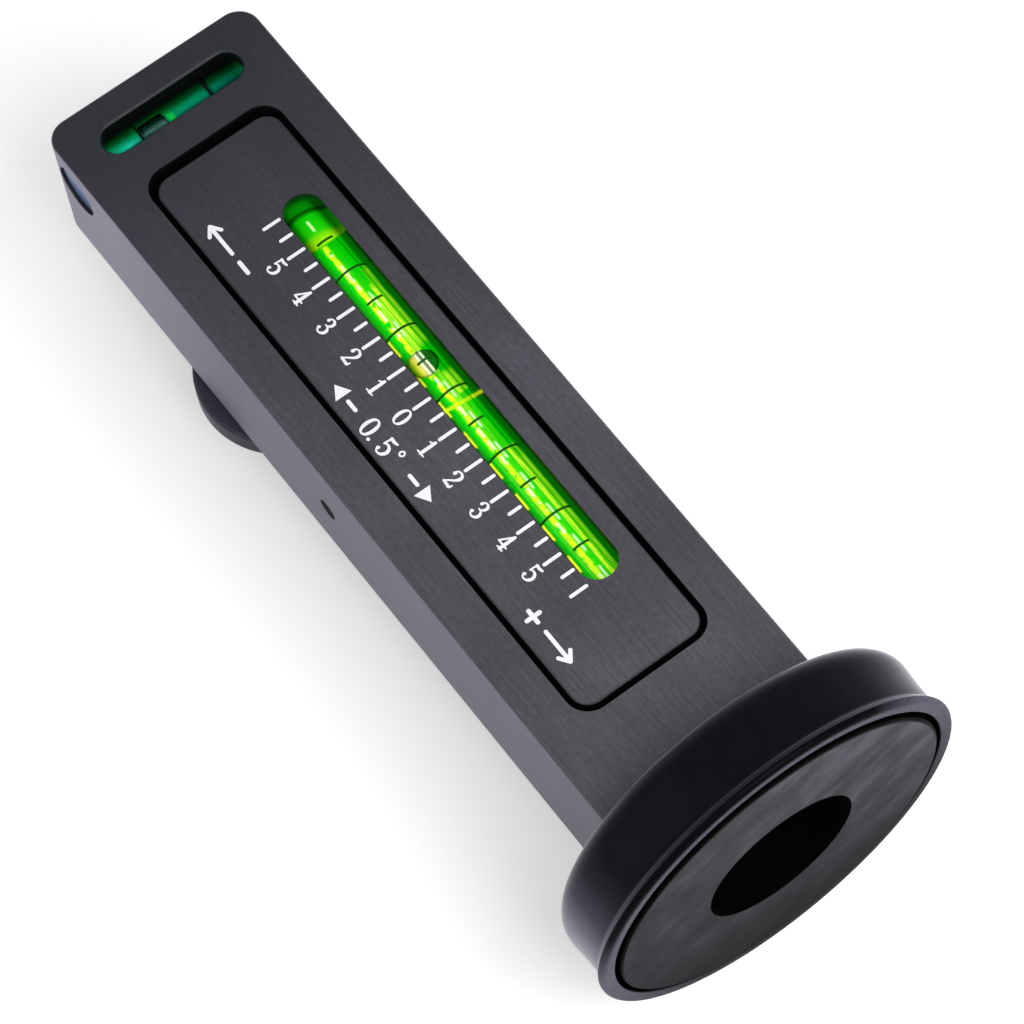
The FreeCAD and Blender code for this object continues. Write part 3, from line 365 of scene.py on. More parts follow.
def brushed_black_anodising(name, by_vial):
    """Aluminium, belt-brushed lengthwise and anodised black: dark satin grey with fine lines. Painted
    light runs along it, paler towards the magnet end, and a painted violet sheen lies on the narrow
    sides. Painted
    shade: no light reaches into the pockets and bores, and the walls of a vial's window take the vial's
    light."""
    material, tree, shader = new_finish(name)
    lines = grain(tree, (0.13, 6.0, 0.13), 2.0)
    mottle = grain(tree, (0.5, 0.9, 0.5), 2.0)
    cloud = grain(tree, (9.0, 16.0, 9.0), 1.0)
    brushed = add(tree, "Mix", {0: 0.4, 2: lines, 3: mottle})
    worn = add(tree, "Mix", {0: 0.25, 2: brushed, 3: cloud})
    face = add(tree, "ValToRGB", {0: worn}, [(0.3, "3a3941"), (0.5, "4a4950"), (0.7, "5d5b65")])

    x, y, z = coordinates(tree)
    # painted light along the bar: paler towards the magnet end, darkest at the free end
    length = add(tree, "Math", {0: y, 1: BAR_END * MM}, operation="DIVIDE")
    lengthwise_light = add(tree, "ValToRGB", {0: length}, [
        (0.12, "ffffff"), (0.28, "d2d2d4"), (0.46, "e6e6e8"), (0.6, "d0ced2"), (0.72, "b8b8be"),
        (0.84, "969aa4"), (0.97, "6c7480")])
    face = add(tree, "Mix", {0: 1.0, 6: face, 7: lengthwise_light}, **MULTIPLIED)
    off_middle = add(tree, "Math", {0: x}, operation="ABSOLUTE")
    # how far inside the bar's outline, round its two corners too
    past_side = add(tree, "Math", {0: off_middle, 1: (HALF_WIDTH - BAR_CORNER) * MM},
                    operation="SUBTRACT")
    past_end = add(tree, "Math", {0: y, 1: (BAR_END - BAR_CORNER) * MM}, operation="SUBTRACT")
    past = add(tree, "CombineXYZ", {0: past_side, 1: past_end})
    in_corner = add(tree, "VectorMath", {0: past, 1: (0, 0, 0)}, operation="MAXIMUM")
    outward = add(tree, "VectorMath", {0: in_corner}, operation="LENGTH")
    farther = add(tree, "Math", {0: past_side, 1: past_end}, operation="MAXIMUM")
    short = add(tree, "Math", {0: farther, 1: 0.0}, operation="MINIMUM")
    inward = add(tree, "Math", {0: BAR_CORNER * MM, 1: add(tree, "Math", {0: outward, 1: short})},
                 operation="SUBTRACT")
    # painted sheen: the narrow sides are paler and violet, as seen at a low angle, palest towards the
    # free end
    side = add(tree, "MapRange", {0: inward, 1: 0.12 * MM, 2: 0.02 * MM})
    side_sheen = add(tree, "ValToRGB", {0: length}, [(0.1, "504a5c"), (0.5, "544e60"), (0.7, "5c566a"),
                                               (0.9, "807a8e")])
    face = add(tree, "Mix", {0: side, 6: face, 7: side_sheen}, **COLOURS)
    # no light below the faces, inside the outline
    deep = add(tree, "MapRange", {0: depth_in(tree, z), 1: 0.08 * MM, 2: 0.38 * MM})
    inside = add(tree, "MapRange", {0: inward, 1: 0.95 * MM, 2: 1.2 * MM})
    shaded = add(tree, "Math", {0: deep, 1: inside}, operation="MULTIPLY")

    shade, glow = linear("030304"), linear("000000")
    if by_vial:
        from_vial = add(tree, "Math", {0: x, 1: VIAL_X * MM, 2: 2.8 * MM}, operation="COMPARE")
        along_window = add(tree, "Math", {0: y, 1: 65.1 * MM, 2: 34.8 * MM}, operation="COMPARE")
        wall = add(tree, "Math", {0: from_vial, 1: along_window}, operation="MULTIPLY")
        light = light_streaks(tree)
        shade = add(tree, "Mix", {0: wall, 6: shade, 7: light}, **COLOURS)
        glow = add(tree, "Mix", {0: wall, 6: glow, 7: light}, **COLOURS)
    colour = add(tree, "Mix", {0: shaded, 6: face, 7: shade}, **COLOURS)
    lit = add(tree, "Mix", {0: shaded, 6: linear("000000"), 7: glow}, **COLOURS)
    feed(tree, shader, {
        "Base Color": colour, "Emission Color": lit, "Emission Strength": TUBE_GLOW,
        "Specular IOR Level": 0.28, "IOR": 1.5,
        "Roughness": add(tree, "MapRange", {0: lines, 1: 0.25, 2: 0.75, 3: 0.4, 4: 0.54}),
        "Normal": add(tree, "Bump", {"Height": brushed, "Distance": 0.004 * MM})})
    return material


def air_bubble(name, centre, reach, slant, low, high, stripes, glow, crosswise=False):
    """Air in a vial, drawn in painted light: the vial's light bent into stripes, and painted shade
    darkening it towards its rim. centre and reach are the bubble's middle and half sizes; stripes run
    from low to high across it."""
    material, tree, shader = new_finish(name)
    across, along = slanted(tree, slant)
    depth = CAMBER_FACE - centre[2] if centre[2] > 0 else centre[2] - CASTER_FACE
    off = []
    for place, middle, lean, half in zip((across, along), centre, slant, reach):
        aside = add(tree, "Math", {0: place, 1: middle - lean * depth}, operation="SUBTRACT")
        off.append(add(tree, "Math", {0: aside, 1: half}, operation="DIVIDE"))
    out = add(tree, "VectorMath", {0: add(tree, "CombineXYZ", dict(enumerate(off)))}, operation="LENGTH")
    stripe = add(tree, "MapRange", {0: along if crosswise else across, 1: low, 2: high})
    colour = add(tree, "ValToRGB", {0: stripe}, stripes)
    rim = add(tree, "MapRange", {0: out, 1: 0.86, 2: 1.0, 4: 0.6})
    dark = add(tree, "Mix", {0: rim, 6: colour, 7: linear(stripes[-1][1])}, **COLOURS)
    feed(tree, shader, {
        "Base Color": dark, "Emission Color": dark, "Emission Strength": glow, "Roughness": 0.2,
        "IOR": 1.33, "Specular IOR Level": 0.1})
    return material


def teal_light(tree):
    """Blue-green light along the low side of the cross level, brightest at its left end, and the bar's
    shade on its high side."""
    across, along = slanted(tree, LEVEL_SLANT)
    side = add(tree, "MapRange", {0: along, 1: ACROSS_LEVEL[0], 2: ACROSS_LEVEL[1]})
    rise = add(tree, "ValToRGB", {0: side}, [
        (0.07, "065850"), (0.12, "08725e"), (0.18, "0a906e"), (0.25, "02986d"), (0.32, "079367"),
        (0.4, "04804f"), (0.47, "035f33"), (0.55, "054820"), (0.63, "022e10"), (0.7, "011a06"),
        (0.78, "011006"), (0.9, "000602")])
    length = add(tree, "MapRange", {0: across, 1: ALONG_LEVEL[0], 2: ALONG_LEVEL[1]})
    ends = add(tree, "ValToRGB", {0: length}, [
        (0.0, "ffffff"), (0.2, "f4fff4"), (0.4, "f8ffc0"), (0.46, "f0f4f0"), (0.7, "dce0e0"),
        (0.715, "606870"), (0.73, "606870"), (0.75, "c4c4cc"), (0.95, "8c9088")])
    light = add(tree, "Mix", {0: 1.0, 6: rise, 7: ends}, **MULTIPLIED)
    # gleams: blue at the left end, and green near the middle
    for tone, lengths, sides in (
            ("24ceb4", [(-9.6, 0), (-8.6, 0.8), (-7.4, 1), (-6.2, 0.7), (-5.8, 0)],
             [(117.25, 0.2), (117.6, 1), (117.85, 0.9), (118.3, 0.35), (118.7, 0)]),
            ("18cc40", [(-1.8, 0), (-1.6, 0.9), (-1.0, 0.9), (-0.7, 0)],
             [(117.3, 0.2), (117.5, 1), (118.2, 0.9), (118.7, 0.4), (119.3, 0)])):
        gleam = patch(tree, (across, along), (ALONG_LEVEL, ACROSS_LEVEL), lengths, sides)
        light = add(tree, "Mix", {0: gleam, 6: light, 7: linear(tone)}, **COLOURS)
    return light


def teal_glass():
    """Blue-green glass tube of the cross level, polished: clear over the liquid, with its own light in
    the far side."""
    material, tree, shader = new_finish("teal_glass")
    y = coordinates(tree)[1]
    solid = add(tree, "MapRange", {0: y, 1: (LEVEL_Y + 1.5) * MM, 2: (LEVEL_Y + 1.53) * MM})
    tube_surface(tree, shader, solid, teal_light(tree), "eefff8", {
        "Emission Strength": LEVEL_GLOW, "IOR": 1.03, "Specular IOR Level": 0.1})
    return material


def speckled(name, dark, light, size, rough, bump=0.0, **surface):
    """A finish of two tones in grains of so many millimetres, for moulded, plated and drawn pieces."""
    material, tree, shader = new_finish(name)
    pattern = add(tree, "Mix", {0: 0.3, 2: grain(tree, size), 3: grain(tree, (3.0, 3.0, 3.0))})
    feed(tree, shader, {
        "Base Color": add(tree, "ValToRGB", {0: pattern}, [(0.3, dark), (0.7, light)]),
        "Roughness": add(tree, "MapRange", {0: pattern, 1: 0.3, 2: 0.7, 3: rough[0], 4: rough[1]}),
        **{socket.replace("_", " "): value for socket, value in surface.items()}})
    if bump:
        height = add(tree, "Bump", {"Height": pattern, "Distance": bump * MM})
        feed(tree, shader, {"Normal": height})
    return material


def polished_neoprene():
    """Neoprene boot, moulded in a polished tool: blue-black rubber that shines only at a low angle."""
    material, tree, shader = new_finish("polished_neoprene")
    x = coordinates(tree)[0]
    pores = grain(tree, (2.0, 2.0, 2.0))
    clean = add(tree, "ValToRGB", {0: pores}, [(0.3, "07070d"), (0.7, "0b0b13")])
    # painted sheen: paler towards the two sides, where the rubber is seen at a low angle
    sheen_reach = add(tree, "Math", {0: add(tree, "Math", {0: x}, operation="ABSOLUTE"), 1: 24.3 * MM},
               operation="DIVIDE")
    grey = add(tree, "ValToRGB", {0: sheen_reach}, [
        (0.78, "000000"), (0.87, "17161c"), (0.94, "35333e"), (0.98, "56535f"), (1.0, "6c6876")])
    feed(tree, shader, {
        "Base Color": add(tree, "Mix", {0: 1.0, 6: clean, 7: grey}, **COLOURS, blend_type="ADD"),
        "Specular IOR Level": 0.03, "IOR": 1.5, "Roughness": 0.18,
        "Sheen Weight": 0.45, "Sheen Roughness": 0.35, "Sheen Tint": linear("d0c8e0"),
        "Normal": add(tree, "Bump", {"Height": pores, "Distance": 0.002 * MM})})
    return material


def rubbed_neoprene_painted_light():
    """Neoprene of the boot's lip: matt grey where hubs rubbed it, in scuffs, with painted light making it
    lightest on its high side and darkest on its low side; painted shade keeps it black on the high side
    of its rounded edge and in the gap round the magnet."""
    material, tree, shader = new_finish("rubbed_neoprene_painted_light")
    place = add(tree, "TexCoord").outputs["Object"]
    # painted light over wear: the lip lighter on its high side and darker on its low side, in scuffs
    height = add(tree, "VectorMath", {0: place, 1: (-0.3, 0, 0.95)}, operation="DOT_PRODUCT")
    rise = add(tree, "MapRange", {0: height, 1: -BOOT_REACH * MM, 2: BOOT_REACH * MM})
    rub_and_light = add(tree, "ValToRGB", {0: rise}, [
        (0.0, "020204"), (0.15, "111118"), (0.35, "44424e"), (0.5, "524f5e"), (0.62, "585666"),
        (1.0, "525060")])
    scuffs = add(tree, "ValToRGB", {0: grain(tree, (0.4, 0.4, 0.4))}, [(0.3, "cccccc"), (0.7, "ffffff")])
    rub_and_light = add(tree, "Mix", {0: 1.0, 6: rub_and_light, 7: scuffs}, **MULTIPLIED)
    # painted shade: black on the high side of the rounded edge and in the gap round the magnet
    radius = distance_from_axis(tree, place, (1, 0, 1))
    on_edge = add(tree, "Math", {0: add(tree, "MapRange", {0: radius, 1: 24.1 * MM, 2: 24.45 * MM}),
                                 1: add(tree, "MapRange", {0: height, 1: 8 * MM, 2: 16 * MM})},
                  operation="MULTIPLY")
    in_gap = add(tree, "MapRange", {0: radius, 1: 23.3 * MM, 2: 23.2 * MM})
    black = add(tree, "Math", {0: on_edge, 1: in_gap}, operation="MAXIMUM")
    feed(tree, shader, {
        "Base Color": add(tree, "Mix", {0: black, 6: rub_and_light, 7: linear("020204")}, **COLOURS),
        "Specular IOR Level": 0.03, "IOR": 1.5, "Roughness": 0.4})
    return material


def silicone_plug():
    """Silicone plug in the mouth of the level's bore: matt blue-grey with a fine moulded grain, and
    painted shade, darker towards its low side."""
    material, tree, shader = new_finish("silicone_plug")
    pores = grain(tree, (0.25, 0.25, 0.25))
    z = coordinates(tree)[2]
    height = add(tree, "MapRange", {0: z, 1: (LEVEL_Z - 3.5) * MM, 2: (LEVEL_Z + 3.5) * MM})
    plug_shade = add(tree, "ValToRGB", {0: height}, [(0.0, "34406a"), (0.3, "5c7098"), (0.6, "9cacc8"),
                                               (0.9, "c0c0d0")])
    tone = add(tree, "ValToRGB", {0: pores}, [(0.3, "d8d8d8"), (0.7, "ffffff")])
    feed(tree, shader, {
        "Base Color": add(tree, "Mix", {0: 1.0, 6: plug_shade, 7: tone}, **MULTIPLIED),
        "Roughness": add(tree, "MapRange", {0: pores, 1: 0.3, 2: 0.7, 3: 0.6, 4: 0.75}), "IOR": 1.43,
        "Specular IOR Level": 0.2,
        "Normal": add(tree, "Bump", {"Height": pores, "Distance": 0.01 * MM})})
    return material


def ground_ferrite():
    """Ferrite ring, ground flat: dark grey ceramic, cloudy, with the grinding wheel's slanting scratches,
    under painted light and shade. Its hole and its rim are painted dark as shade."""
    material, tree, shader = new_finish("ground_ferrite")
    slope = (0.0, math.radians(-27), 0.0)
    scratches = add(tree, "Mix", {0: 0.55, 2: grain(tree, (7.0, 3.0, 0.35), turn=slope),
                                  3: grain(tree, (14.0, 3.0, 3.2), 1.0, slope)})
    cloudy = add(tree, "Mix", {0: 0.35, 2: scratches, 3: grain(tree, (6.0, 6.0, 6.0), 2.0)})
    place = add(tree, "TexCoord").outputs["Object"]
    # painted light: the face is lighter towards its upper right and darker towards its low left
    drift = add(tree, "VectorMath", {0: place, 1: (0.6, 0, 0.8)}, operation="DOT_PRODUCT")
    painted_tilt = add(tree, "MapRange", {0: drift, 1: -RING_REACH * MM, 2: RING_REACH * MM,
                                     3: -0.14, 4: 0.14})
    tone = add(tree, "Math", {0: cloudy, 1: painted_tilt})
    face = add(tree, "ValToRGB", {0: tone}, [(0.3, "1b1a1f"), (0.44, "29282d"), (0.56, "3b393f"),
                                             (0.7, "54525a")])
    # painted shade: the face is darker towards its low side
    z = add(tree, "SeparateXYZ", {0: place}).outputs[2]
    height = add(tree, "MapRange", {0: z, 1: -RING_REACH * MM, 2: RING_REACH * MM})
    ring_low_shade = add(tree, "ValToRGB", {0: height}, [(0.0, "808080"), (0.136, "c4c4c4"), (0.3, "ffffff")])
    face = add(tree, "Mix", {0: 1.0, 6: face, 7: ring_low_shade}, **MULTIPLIED)
    # painted shade: no light reaches into the hole, and the ring's edge is painted black, widest on its
    # high side
    radius = distance_from_axis(tree, place, (1, 0, 1))
    in_hole = add(tree, "MapRange", {0: radius, 1: 10.1 * MM, 2: 10.04 * MM})
    off_centre = distance_from_axis(tree, place, (1, 0, 1), (0, 0, -0.55 * MM))
    at_rim = add(tree, "MapRange", {0: off_centre, 1: 22.2 * MM, 2: 22.4 * MM})
    unlit = add(tree, "Math", {0: in_hole, 1: at_rim}, operation="MAXIMUM")
    feed(tree, shader, {
        "Base Color": add(tree, "Mix", {0: unlit, 6: face, 7: linear("020202")}, **COLOURS),
        "Roughness": add(tree, "MapRange", {0: scratches, 1: 0.34, 2: 0.66, 3: 0.45, 4: 0.62}),
        "IOR": 1.5, "Specular IOR Level": 0.02,
        "Normal": add(tree, "Bump", {"Height": scratches, "Distance": 0.004 * MM})})
    return material


# Green dyed liquid, fluorescent: light runs along it in streaks.
green_liquid = vial_filling("fluorescent_liquid", light_streaks, LIQUID_GLOW)
# Blue-green dyed liquid, and the clear moulded stoppers that keep it in, both in the cross level's
# painted light and shade.
level_liquid = vial_filling("teal_liquid", teal_light, LEVEL_GLOW)
level_stopper = vial_filling("teal_stopper", teal_light, LEVEL_GLOW)
neoprene = polished_neoprene()
lip_neoprene = rubbed_neoprene_painted_light()
# Moulded green plug stoppers: plain and slightly glossy.
stopper = speckled("moulded_stopper", "0b4a10", "126a17", (0.5, 0.5, 0.5), (0.35, 0.45), IOR=1.5)
# Potting resin, poured round the vials: pale yellow, matt where it shrank.
resin = speckled("potting_resin", "8c9a20", "b4c232", (0.8, 0.8, 0.8), (0.45, 0.6), 0.01, IOR=1.5)
# Zinc plate, polished: bright blue-grey steel of the screws and the pivot pin.
bright_zinc = speckled("bright_zinc_plate", "8d8f94", "b4b6bb", (0.3, 0.3, 0.3), (0.25, 0.38), 0.002,
                       Metallic=1.0)
# Zinc plate as it comes, on the backing plate: duller, with larger spangle.
dull_zinc = speckled("dull_zinc_plate", "7d7f83", "a2a4a8", (1.2, 1.2, 1.2), (0.38, 0.55), 0.003,
                     Metallic=1.0)
# Spring steel, drawn: dark grey with fine lines.
spring_steel = speckled("drawn_spring_steel", "55565a", "7a7b80", (0.15, 0.15, 0.6), (0.28, 0.42), 0.002,
                        Metallic=1.0)
# Brass, turned: warm yellow of the thrust washer.
brass = speckled("turned_brass", "9a7434", "c79d52", (0.25, 0.25, 0.1), (0.25, 0.4), 0.002, Metallic=1.0)
# Printed ink: matt, with an edge that bleeds a little into the anodising.
white_ink = speckled("white_epoxy_ink", "dcdce2", "f6f6fa", (0.12, 0.12, 0.12), (0.55, 0.7), IOR=1.5)
# Rings in the long vials are thin black ink that the vial's light shines through.
green_ink = speckled("lit_vial_ink", "124c0c", "205c12", (0.1, 0.1, 0.1), (0.6, 0.7), IOR=1.5,
                     Specular_IOR_Level=0.05)
black_ink = speckled("black_vial_ink", "020806", "04120c", (0.1, 0.1, 0.1), (0.6, 0.7), IOR=1.5,
                     Specular_IOR_Level=0.05)

# Painted light in the air of the long vials: olive and yellow at the left, two white gleams, and dark
# green shade on the right.
BUBBLE_STRIPES = [
    (0.0, "3c640a"), (0.1, "52820a"), (0.17, "8ca012"), (0.26, "d0c440"), (0.36, "dcc45c"),
    (0.41, "ccc48c"), (0.44, "e4e4d4"), (0.48, "e6e6da"), (0.51, "7a7a62"), (0.58, "6a7452"),
    (0.62, "e4e8d8"), (0.65, "dce4d2"), (0.68, "2a6228"), (0.74, "065206"), (0.84, "0c5e10"),
    (0.92, "045604"), (1.0, "003c00")]
camber_air, caster_air = (
    air_bubble(name, (VIAL_X, rest, height), (1.9, 1.75), VIAL_SLANT, 1.1, 4.8, BUBBLE_STRIPES,
               LIQUID_GLOW)
    for name, rest, height in (
        ("air_in_green_liquid", CAMBER_BUBBLE_Y, CAMBER_VIAL_Z + BUBBLE_RISE),
        ("air_in_caster_liquid", CASTER_ZERO, CASTER_VIAL_Z - BUBBLE_RISE)))
# Air in the cross level, in painted shade: nearly black, with a painted grey gleam along its low side.
level_air = air_bubble(
    "air_in_teal_liquid", (LEVEL_BUBBLE_X, LEVEL_Y, LEVEL_Z + LEVEL_BUBBLE_RISE), (2.2, 3.2), LEVEL_SLANT,
    *ACROSS_LEVEL, [
        (0.0, "142c30"), (0.12, "2c4444"), (0.18, "425c5a"), (0.25, "284640"), (0.33, "082a20"),
        (0.42, "03140e"), (0.55, "010604"), (1.0, "000201")], LIQUID_GLOW, crosswise=True)

for names, material in (
        ("bar", brushed_black_anodising("brushed_black_anodising", by_vial=False)),
        ("camber_carrier caster_cradle",
         brushed_black_anodising("black_anodising_by_vial", by_vial=True)),
        ("zero_wheel", turned_black_anodising()), ("ring_magnet", ground_ferrite()),
        ("magnet_boot", neoprene), ("bore_plug", silicone_plug()),
        ("camber_vial caster_vial", fluorescent_acrylic()), ("level_vial", teal_glass()),
        ("camber_liquid caster_liquid", green_liquid), ("level_liquid", level_liquid),
        ("camber_bubble", camber_air), ("caster_bubble", caster_air), ("level_bubble", level_air),
        ("camber_vial_plugs caster_vial_plugs", stopper), ("level_vial_plugs", level_stopper),
        ("camber_vial_bed caster_vial_bed", resin),
        ("camber_carrier_screws pivot_pin zero_screw foot_screw", bright_zinc),
        ("backing_plate", dull_zinc), ("zero_spring screw_clip", spring_steel),
        ("thrust_washer", brass)):
    for name in names.split():
        nodes[name].data.materials.clear()
        nodes[name].data.materials.append(material)


def upturned(node, body):
    """A filling of the caster vial, turned half round on the vial's axis: the caster is read with the
    gauge's rear side up, and air rises to the window there."""
    axis = Vector((VIAL_X, 0, CASTER_VIAL_Z)) * MM
    data = nodes[node].data.copy()
    data.transform(Matrix.Translation(axis) @ Matrix.Rotation(math.pi, 4, "Y") @ Matrix.Translation(-axis)
                   @ nodes[node].matrix_world)
    made = placed(node + "_upturned", data)
    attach(made, body)
    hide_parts(node)


upturned("caster_liquid", "cradle")
upturned("caster_bubble", "caster_air")


# ---------------------------------------------------------------- rubber boot

def moulded_boot():
    """The rubber boot, moulded round the magnet: a flared lip, a shallow waist behind it and a full
    shoulder. Rounded in one sweep of fine steps, so that the lip's highlight is one clean line."""
    def arc(centre, radius, start, stop, steps):
        turns = (math.radians(start + (stop - start) * i / steps) for i in range(steps + 1))
        return [(centre[0] + radius * math.cos(a), centre[1] + radius * math.sin(a)) for a in turns]

    # radius from the foot's axis and place along the bar, from the inside of the lip to the back
    lip = [(23.15, 10.0), (23.15, 2.0), *arc((23.35, 0.5), 0.2, 180, 270, 4), (24.0, 0.3),
           *arc((24.45, 0.95), 0.65, -90, 0, 10)]
    wall = [*arc((24.85, 0.95), 0.25, 12, 60, 5), *arc((24.95, 2.3), 0.7, 250, 180, 8), (24.25, 3.0),
            (24.25, 4.0), (24.27, 4.8), (24.31, 5.5), (24.37, 6.2), (24.42, 6.9), (24.44, 7.4),
            *arc((21.24, 7.6), 3.2, 0, 90, 20), (2.62, 10.8), (2.62, 10.0)]
    profile = lip + wall
    mesh = bmesh.new()
    steps = 288
    rows = [[mesh.verts.new(Vector((r * math.cos(a), y, r * math.sin(a))) * MM) for r, y in profile]
            for a in (2 * math.pi * i / steps for i in range(steps))]
    for i, face in enumerate(skin(mesh, rows, closed=True)):
        face.smooth = True
        face.material_index = 1 if i % len(profile) < len(lip) else 0
    boot = mesh_piece("rubber_boot", mesh, neoprene, lip_neoprene, sharp_from=40)
    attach(boot, "gauge_body")
    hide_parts("magnet_boot")


moulded_boot()


# ---------------------------------------------------------------- the cross level's air

def level_bubble():
    """The cross level's air: it fills the tube above the liquid, flat below, with blunt ends."""
    half_length, centre = 1.82, LEVEL_BUBBLE_X + 0.18
    radius, flat = 2.6, -0.45           # of the air, from the tube's axis
    middle = LEVEL_Z + LEVEL_BUBBLE_RISE
    low = math.asin(flat / radius)
    crown = [(radius * math.cos(a), radius * math.sin(a) - LEVEL_BUBBLE_RISE)
             for a in (low + (math.pi - 2 * low) * i / 40 for i in range(41))]
    base = [(crown[-1][0] + (crown[0][0] - crown[-1][0]) * i / 20, crown[0][1]) for i in range(1, 20)]
    mesh = bmesh.new()
    rows = []
    for i in range(1, 32):
        place = -math.cos(math.pi * i / 32)
        swell = (1 - abs(place) ** 6) ** (1 / 6)
        rows.append([mesh.verts.new(Vector((centre + place * half_length, LEVEL_Y + y * swell,
                                            middle + z * swell)) * MM) for y, z in crown + base])
    faces = skin(mesh, rows)
    for row, end in ((rows[0], -half_length), (rows[-1], half_length)):
        tip = mesh.verts.new(Vector((centre + end, LEVEL_Y, middle)) * MM)
        faces += [mesh.faces.new((*pair, tip)) for pair in zip(row, row[1:] + row[:1])]
    for face in faces:
        face.smooth = True
    air = mesh_piece("air_in_level", mesh, level_air, sharp_from=60)
    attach(air, "level_air")
    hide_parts("level_bubble")


level_bubble()


# ---------------------------------------------------------------- printed scales

# Each figure is drawn with strokes of a flat pen. A point of a stroke is x to the right, y up and the
# pen's width there, in hundredths of the figure's height.
FIGURES = {
    "0": ("31,100,9 12,86,15 5,50,19 12,14,15 31,0,9 50,14,15 57,50,19 50,86,15 31,100,9",),
    "1": ("33,98,17 33,50,19 33,4,19", "12,80,9 24,86,10 33,97,12", "10,3,9 33,3,9 56,3,9"),
    "2": ("9,74,20 12,78,17", "6,78,10 14,94,10 32,100,11 50,90,17 53,72,18 42,50,13 20,26,10 7,7,11",
          "6,7,14 32,6,16 52,5,15 58,22,7"),
    "3": ("10,80,18 12,83,16", "7,84,9 18,97,9 34,100,12 48,88,17 46,68,15 34,55,9 22,53,8",
          "24,53,8 40,50,10 53,36,17 52,15,17 36,1,11 18,2,9 6,16,10", "8,18,18 11,21,16"),
    "4": ("41,100,10 22,64,10 3,29,10", "2,28,10 32,28,10 62,28,10", "42,99,17 42,50,19 42,4,19",
          "24,3,9 42,3,9 60,3,9"),
    "5": ("14,98,12 11,76,10 9,53,9", "12,95,15 34,93,16 54,97,12",
          "9,54,9 26,62,11 47,54,16 56,33,18 48,11,16 30,0,10 14,3,9 6,15,10", "8,17,18 11,20,16"),
    ".": ("10,6,17 13,7,17",),
    "o": ("18,100,9 5,86,9 18,72,9 31,86,9 18,100,9",),
}
FIGURE_WIDTH = 0.62
TICK_WIDTH = 0.44
ARROW_WIDTH = 0.5


def smooth_stroke(points, steps=6):
    """Points of a pen stroke, rounded through the given ones."""
    line = [Vector(p) for p in points]
    if len(line) < 3:
        return line
    closed = line[0] == line[-1]
    before = line[-2] if closed else 2 * line[0] - line[1]
    after = line[1] if closed else 2 * line[-1] - line[-2]
    line = [before, *line, after]
    out = []
    for a, b, c, d in zip(line, line[1:], line[2:], line[3:]):
        for i in range(steps):
            t = i / steps
            out.append(0.5 * (2 * b + (c - a) * t + (2 * a - 5 * b + 4 * c - d) * t * t
                              + (3 * b - a - 3 * c + d) * t ** 3))
    out.append(line[-2])
    return out


class Print:
    """Ink on one flat face of the gauge: every mark is a thin closed plate that stands on the face."""

    def __init__(self, origin, right, up):
        self.origin, self.right, self.up = Vector(origin), Vector(right), Vector(up)
        self.out = self.right.cross(self.up)
        self.mesh = bmesh.new()
        self.laid = 0

    def next_height(self):
        """How far the next mark stands out of the face."""
        self.laid += 1
        return INK + INK_STEP * (self.laid % 7)

    def row(self, outline, z):
        """Corners of an outline, millimetres to the right and up, at one height over the face."""
        return [self.mesh.verts.new((self.origin + self.right * x + self.up * y + self.out * z) * MM)
                for x, y in outline]

    def plate(self, outline):
        """One mark with the given outline."""
        height = self.next_height()
        low, high = self.row(outline, INK_ROOT), self.row(outline, height)
        self.mesh.faces.new(high)
        self.mesh.faces.new(low[::-1])
        skin(self.mesh, [low, high])

    def stroke(self, points):
        """A pen stroke of changing width with round ends; a stroke that meets itself makes a ring."""
        line = smooth_stroke(points)
        closed = (line[0] - line[-1]).length < 1e-6
        if closed:
            line = line[:-1]
        left, right = [], []
        for i, p in enumerate(line):
            a = line[i - 1] if i or closed else p
            b = line[(i + 1) % len(line)] if i + 1 < len(line) or closed else p
            along = Vector((b.x - a.x, b.y - a.y)).normalized()
            side = Vector((-along.y, along.x)) * p.z / 2
            left.append((p.x + side.x, p.y + side.y))
            right.append((p.x - side.x, p.y - side.y))
        if closed:
            self.ring(left, right)
            return
        first, last = line[0], line[-1]
        start = math.atan2(line[1].y - first.y, line[1].x - first.x)
        stop = math.atan2(last.y - line[-2].y, last.x - line[-2].x)
        caps = ([(p.x + math.cos(turn + math.pi * k / 6) * p.z / 2,
                  p.y + math.sin(turn + math.pi * k / 6) * p.z / 2) for k in range(1, 6)]
                for p, turn in ((last, stop - math.pi / 2), (first, start + math.pi / 2)))
        self.plate([*right, *next(caps), *left[::-1], *next(caps)])

    def ring(self, outer, inner):
        """A closed band of ink between two outlines of as many points."""
        height = self.next_height()
        rows = [self.row(outline, z) for outline, z in
                ((outer, height), (inner, height), (inner, INK_ROOT), (outer, INK_ROOT))]
        skin(self.mesh, rows, closed=True)

    def figure(self, character, x, y, size):
        """One figure, its middle at x and its foot at y."""
        for stroke in FIGURES[character]:
            points = ([int(n) / 100 for n in point.split(",")] for point in stroke.split())
            self.stroke([((px - FIGURE_WIDTH / 2) * size + x, py * size + y, w * size)
                         for px, py, w in points])

    def bar(self, x0, y0, x1, y1, width):
        """A straight bar with round ends."""
        self.stroke([(x0, y0, width), (x1, y1, width)])

    def piece(self, name, material, body):
        """Makes the marks into one piece that rides on a body."""
        made = mesh_piece(name, self.mesh, material)
        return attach(made, body)


def printed_on(face, zero, front=True):
    """Ink on a scale's face: right runs the way the figures are read, up is across the bar."""
    return Print((0, zero, face), (0, -1, 0) if front else (0, 1, 0), (1, 0, 0))


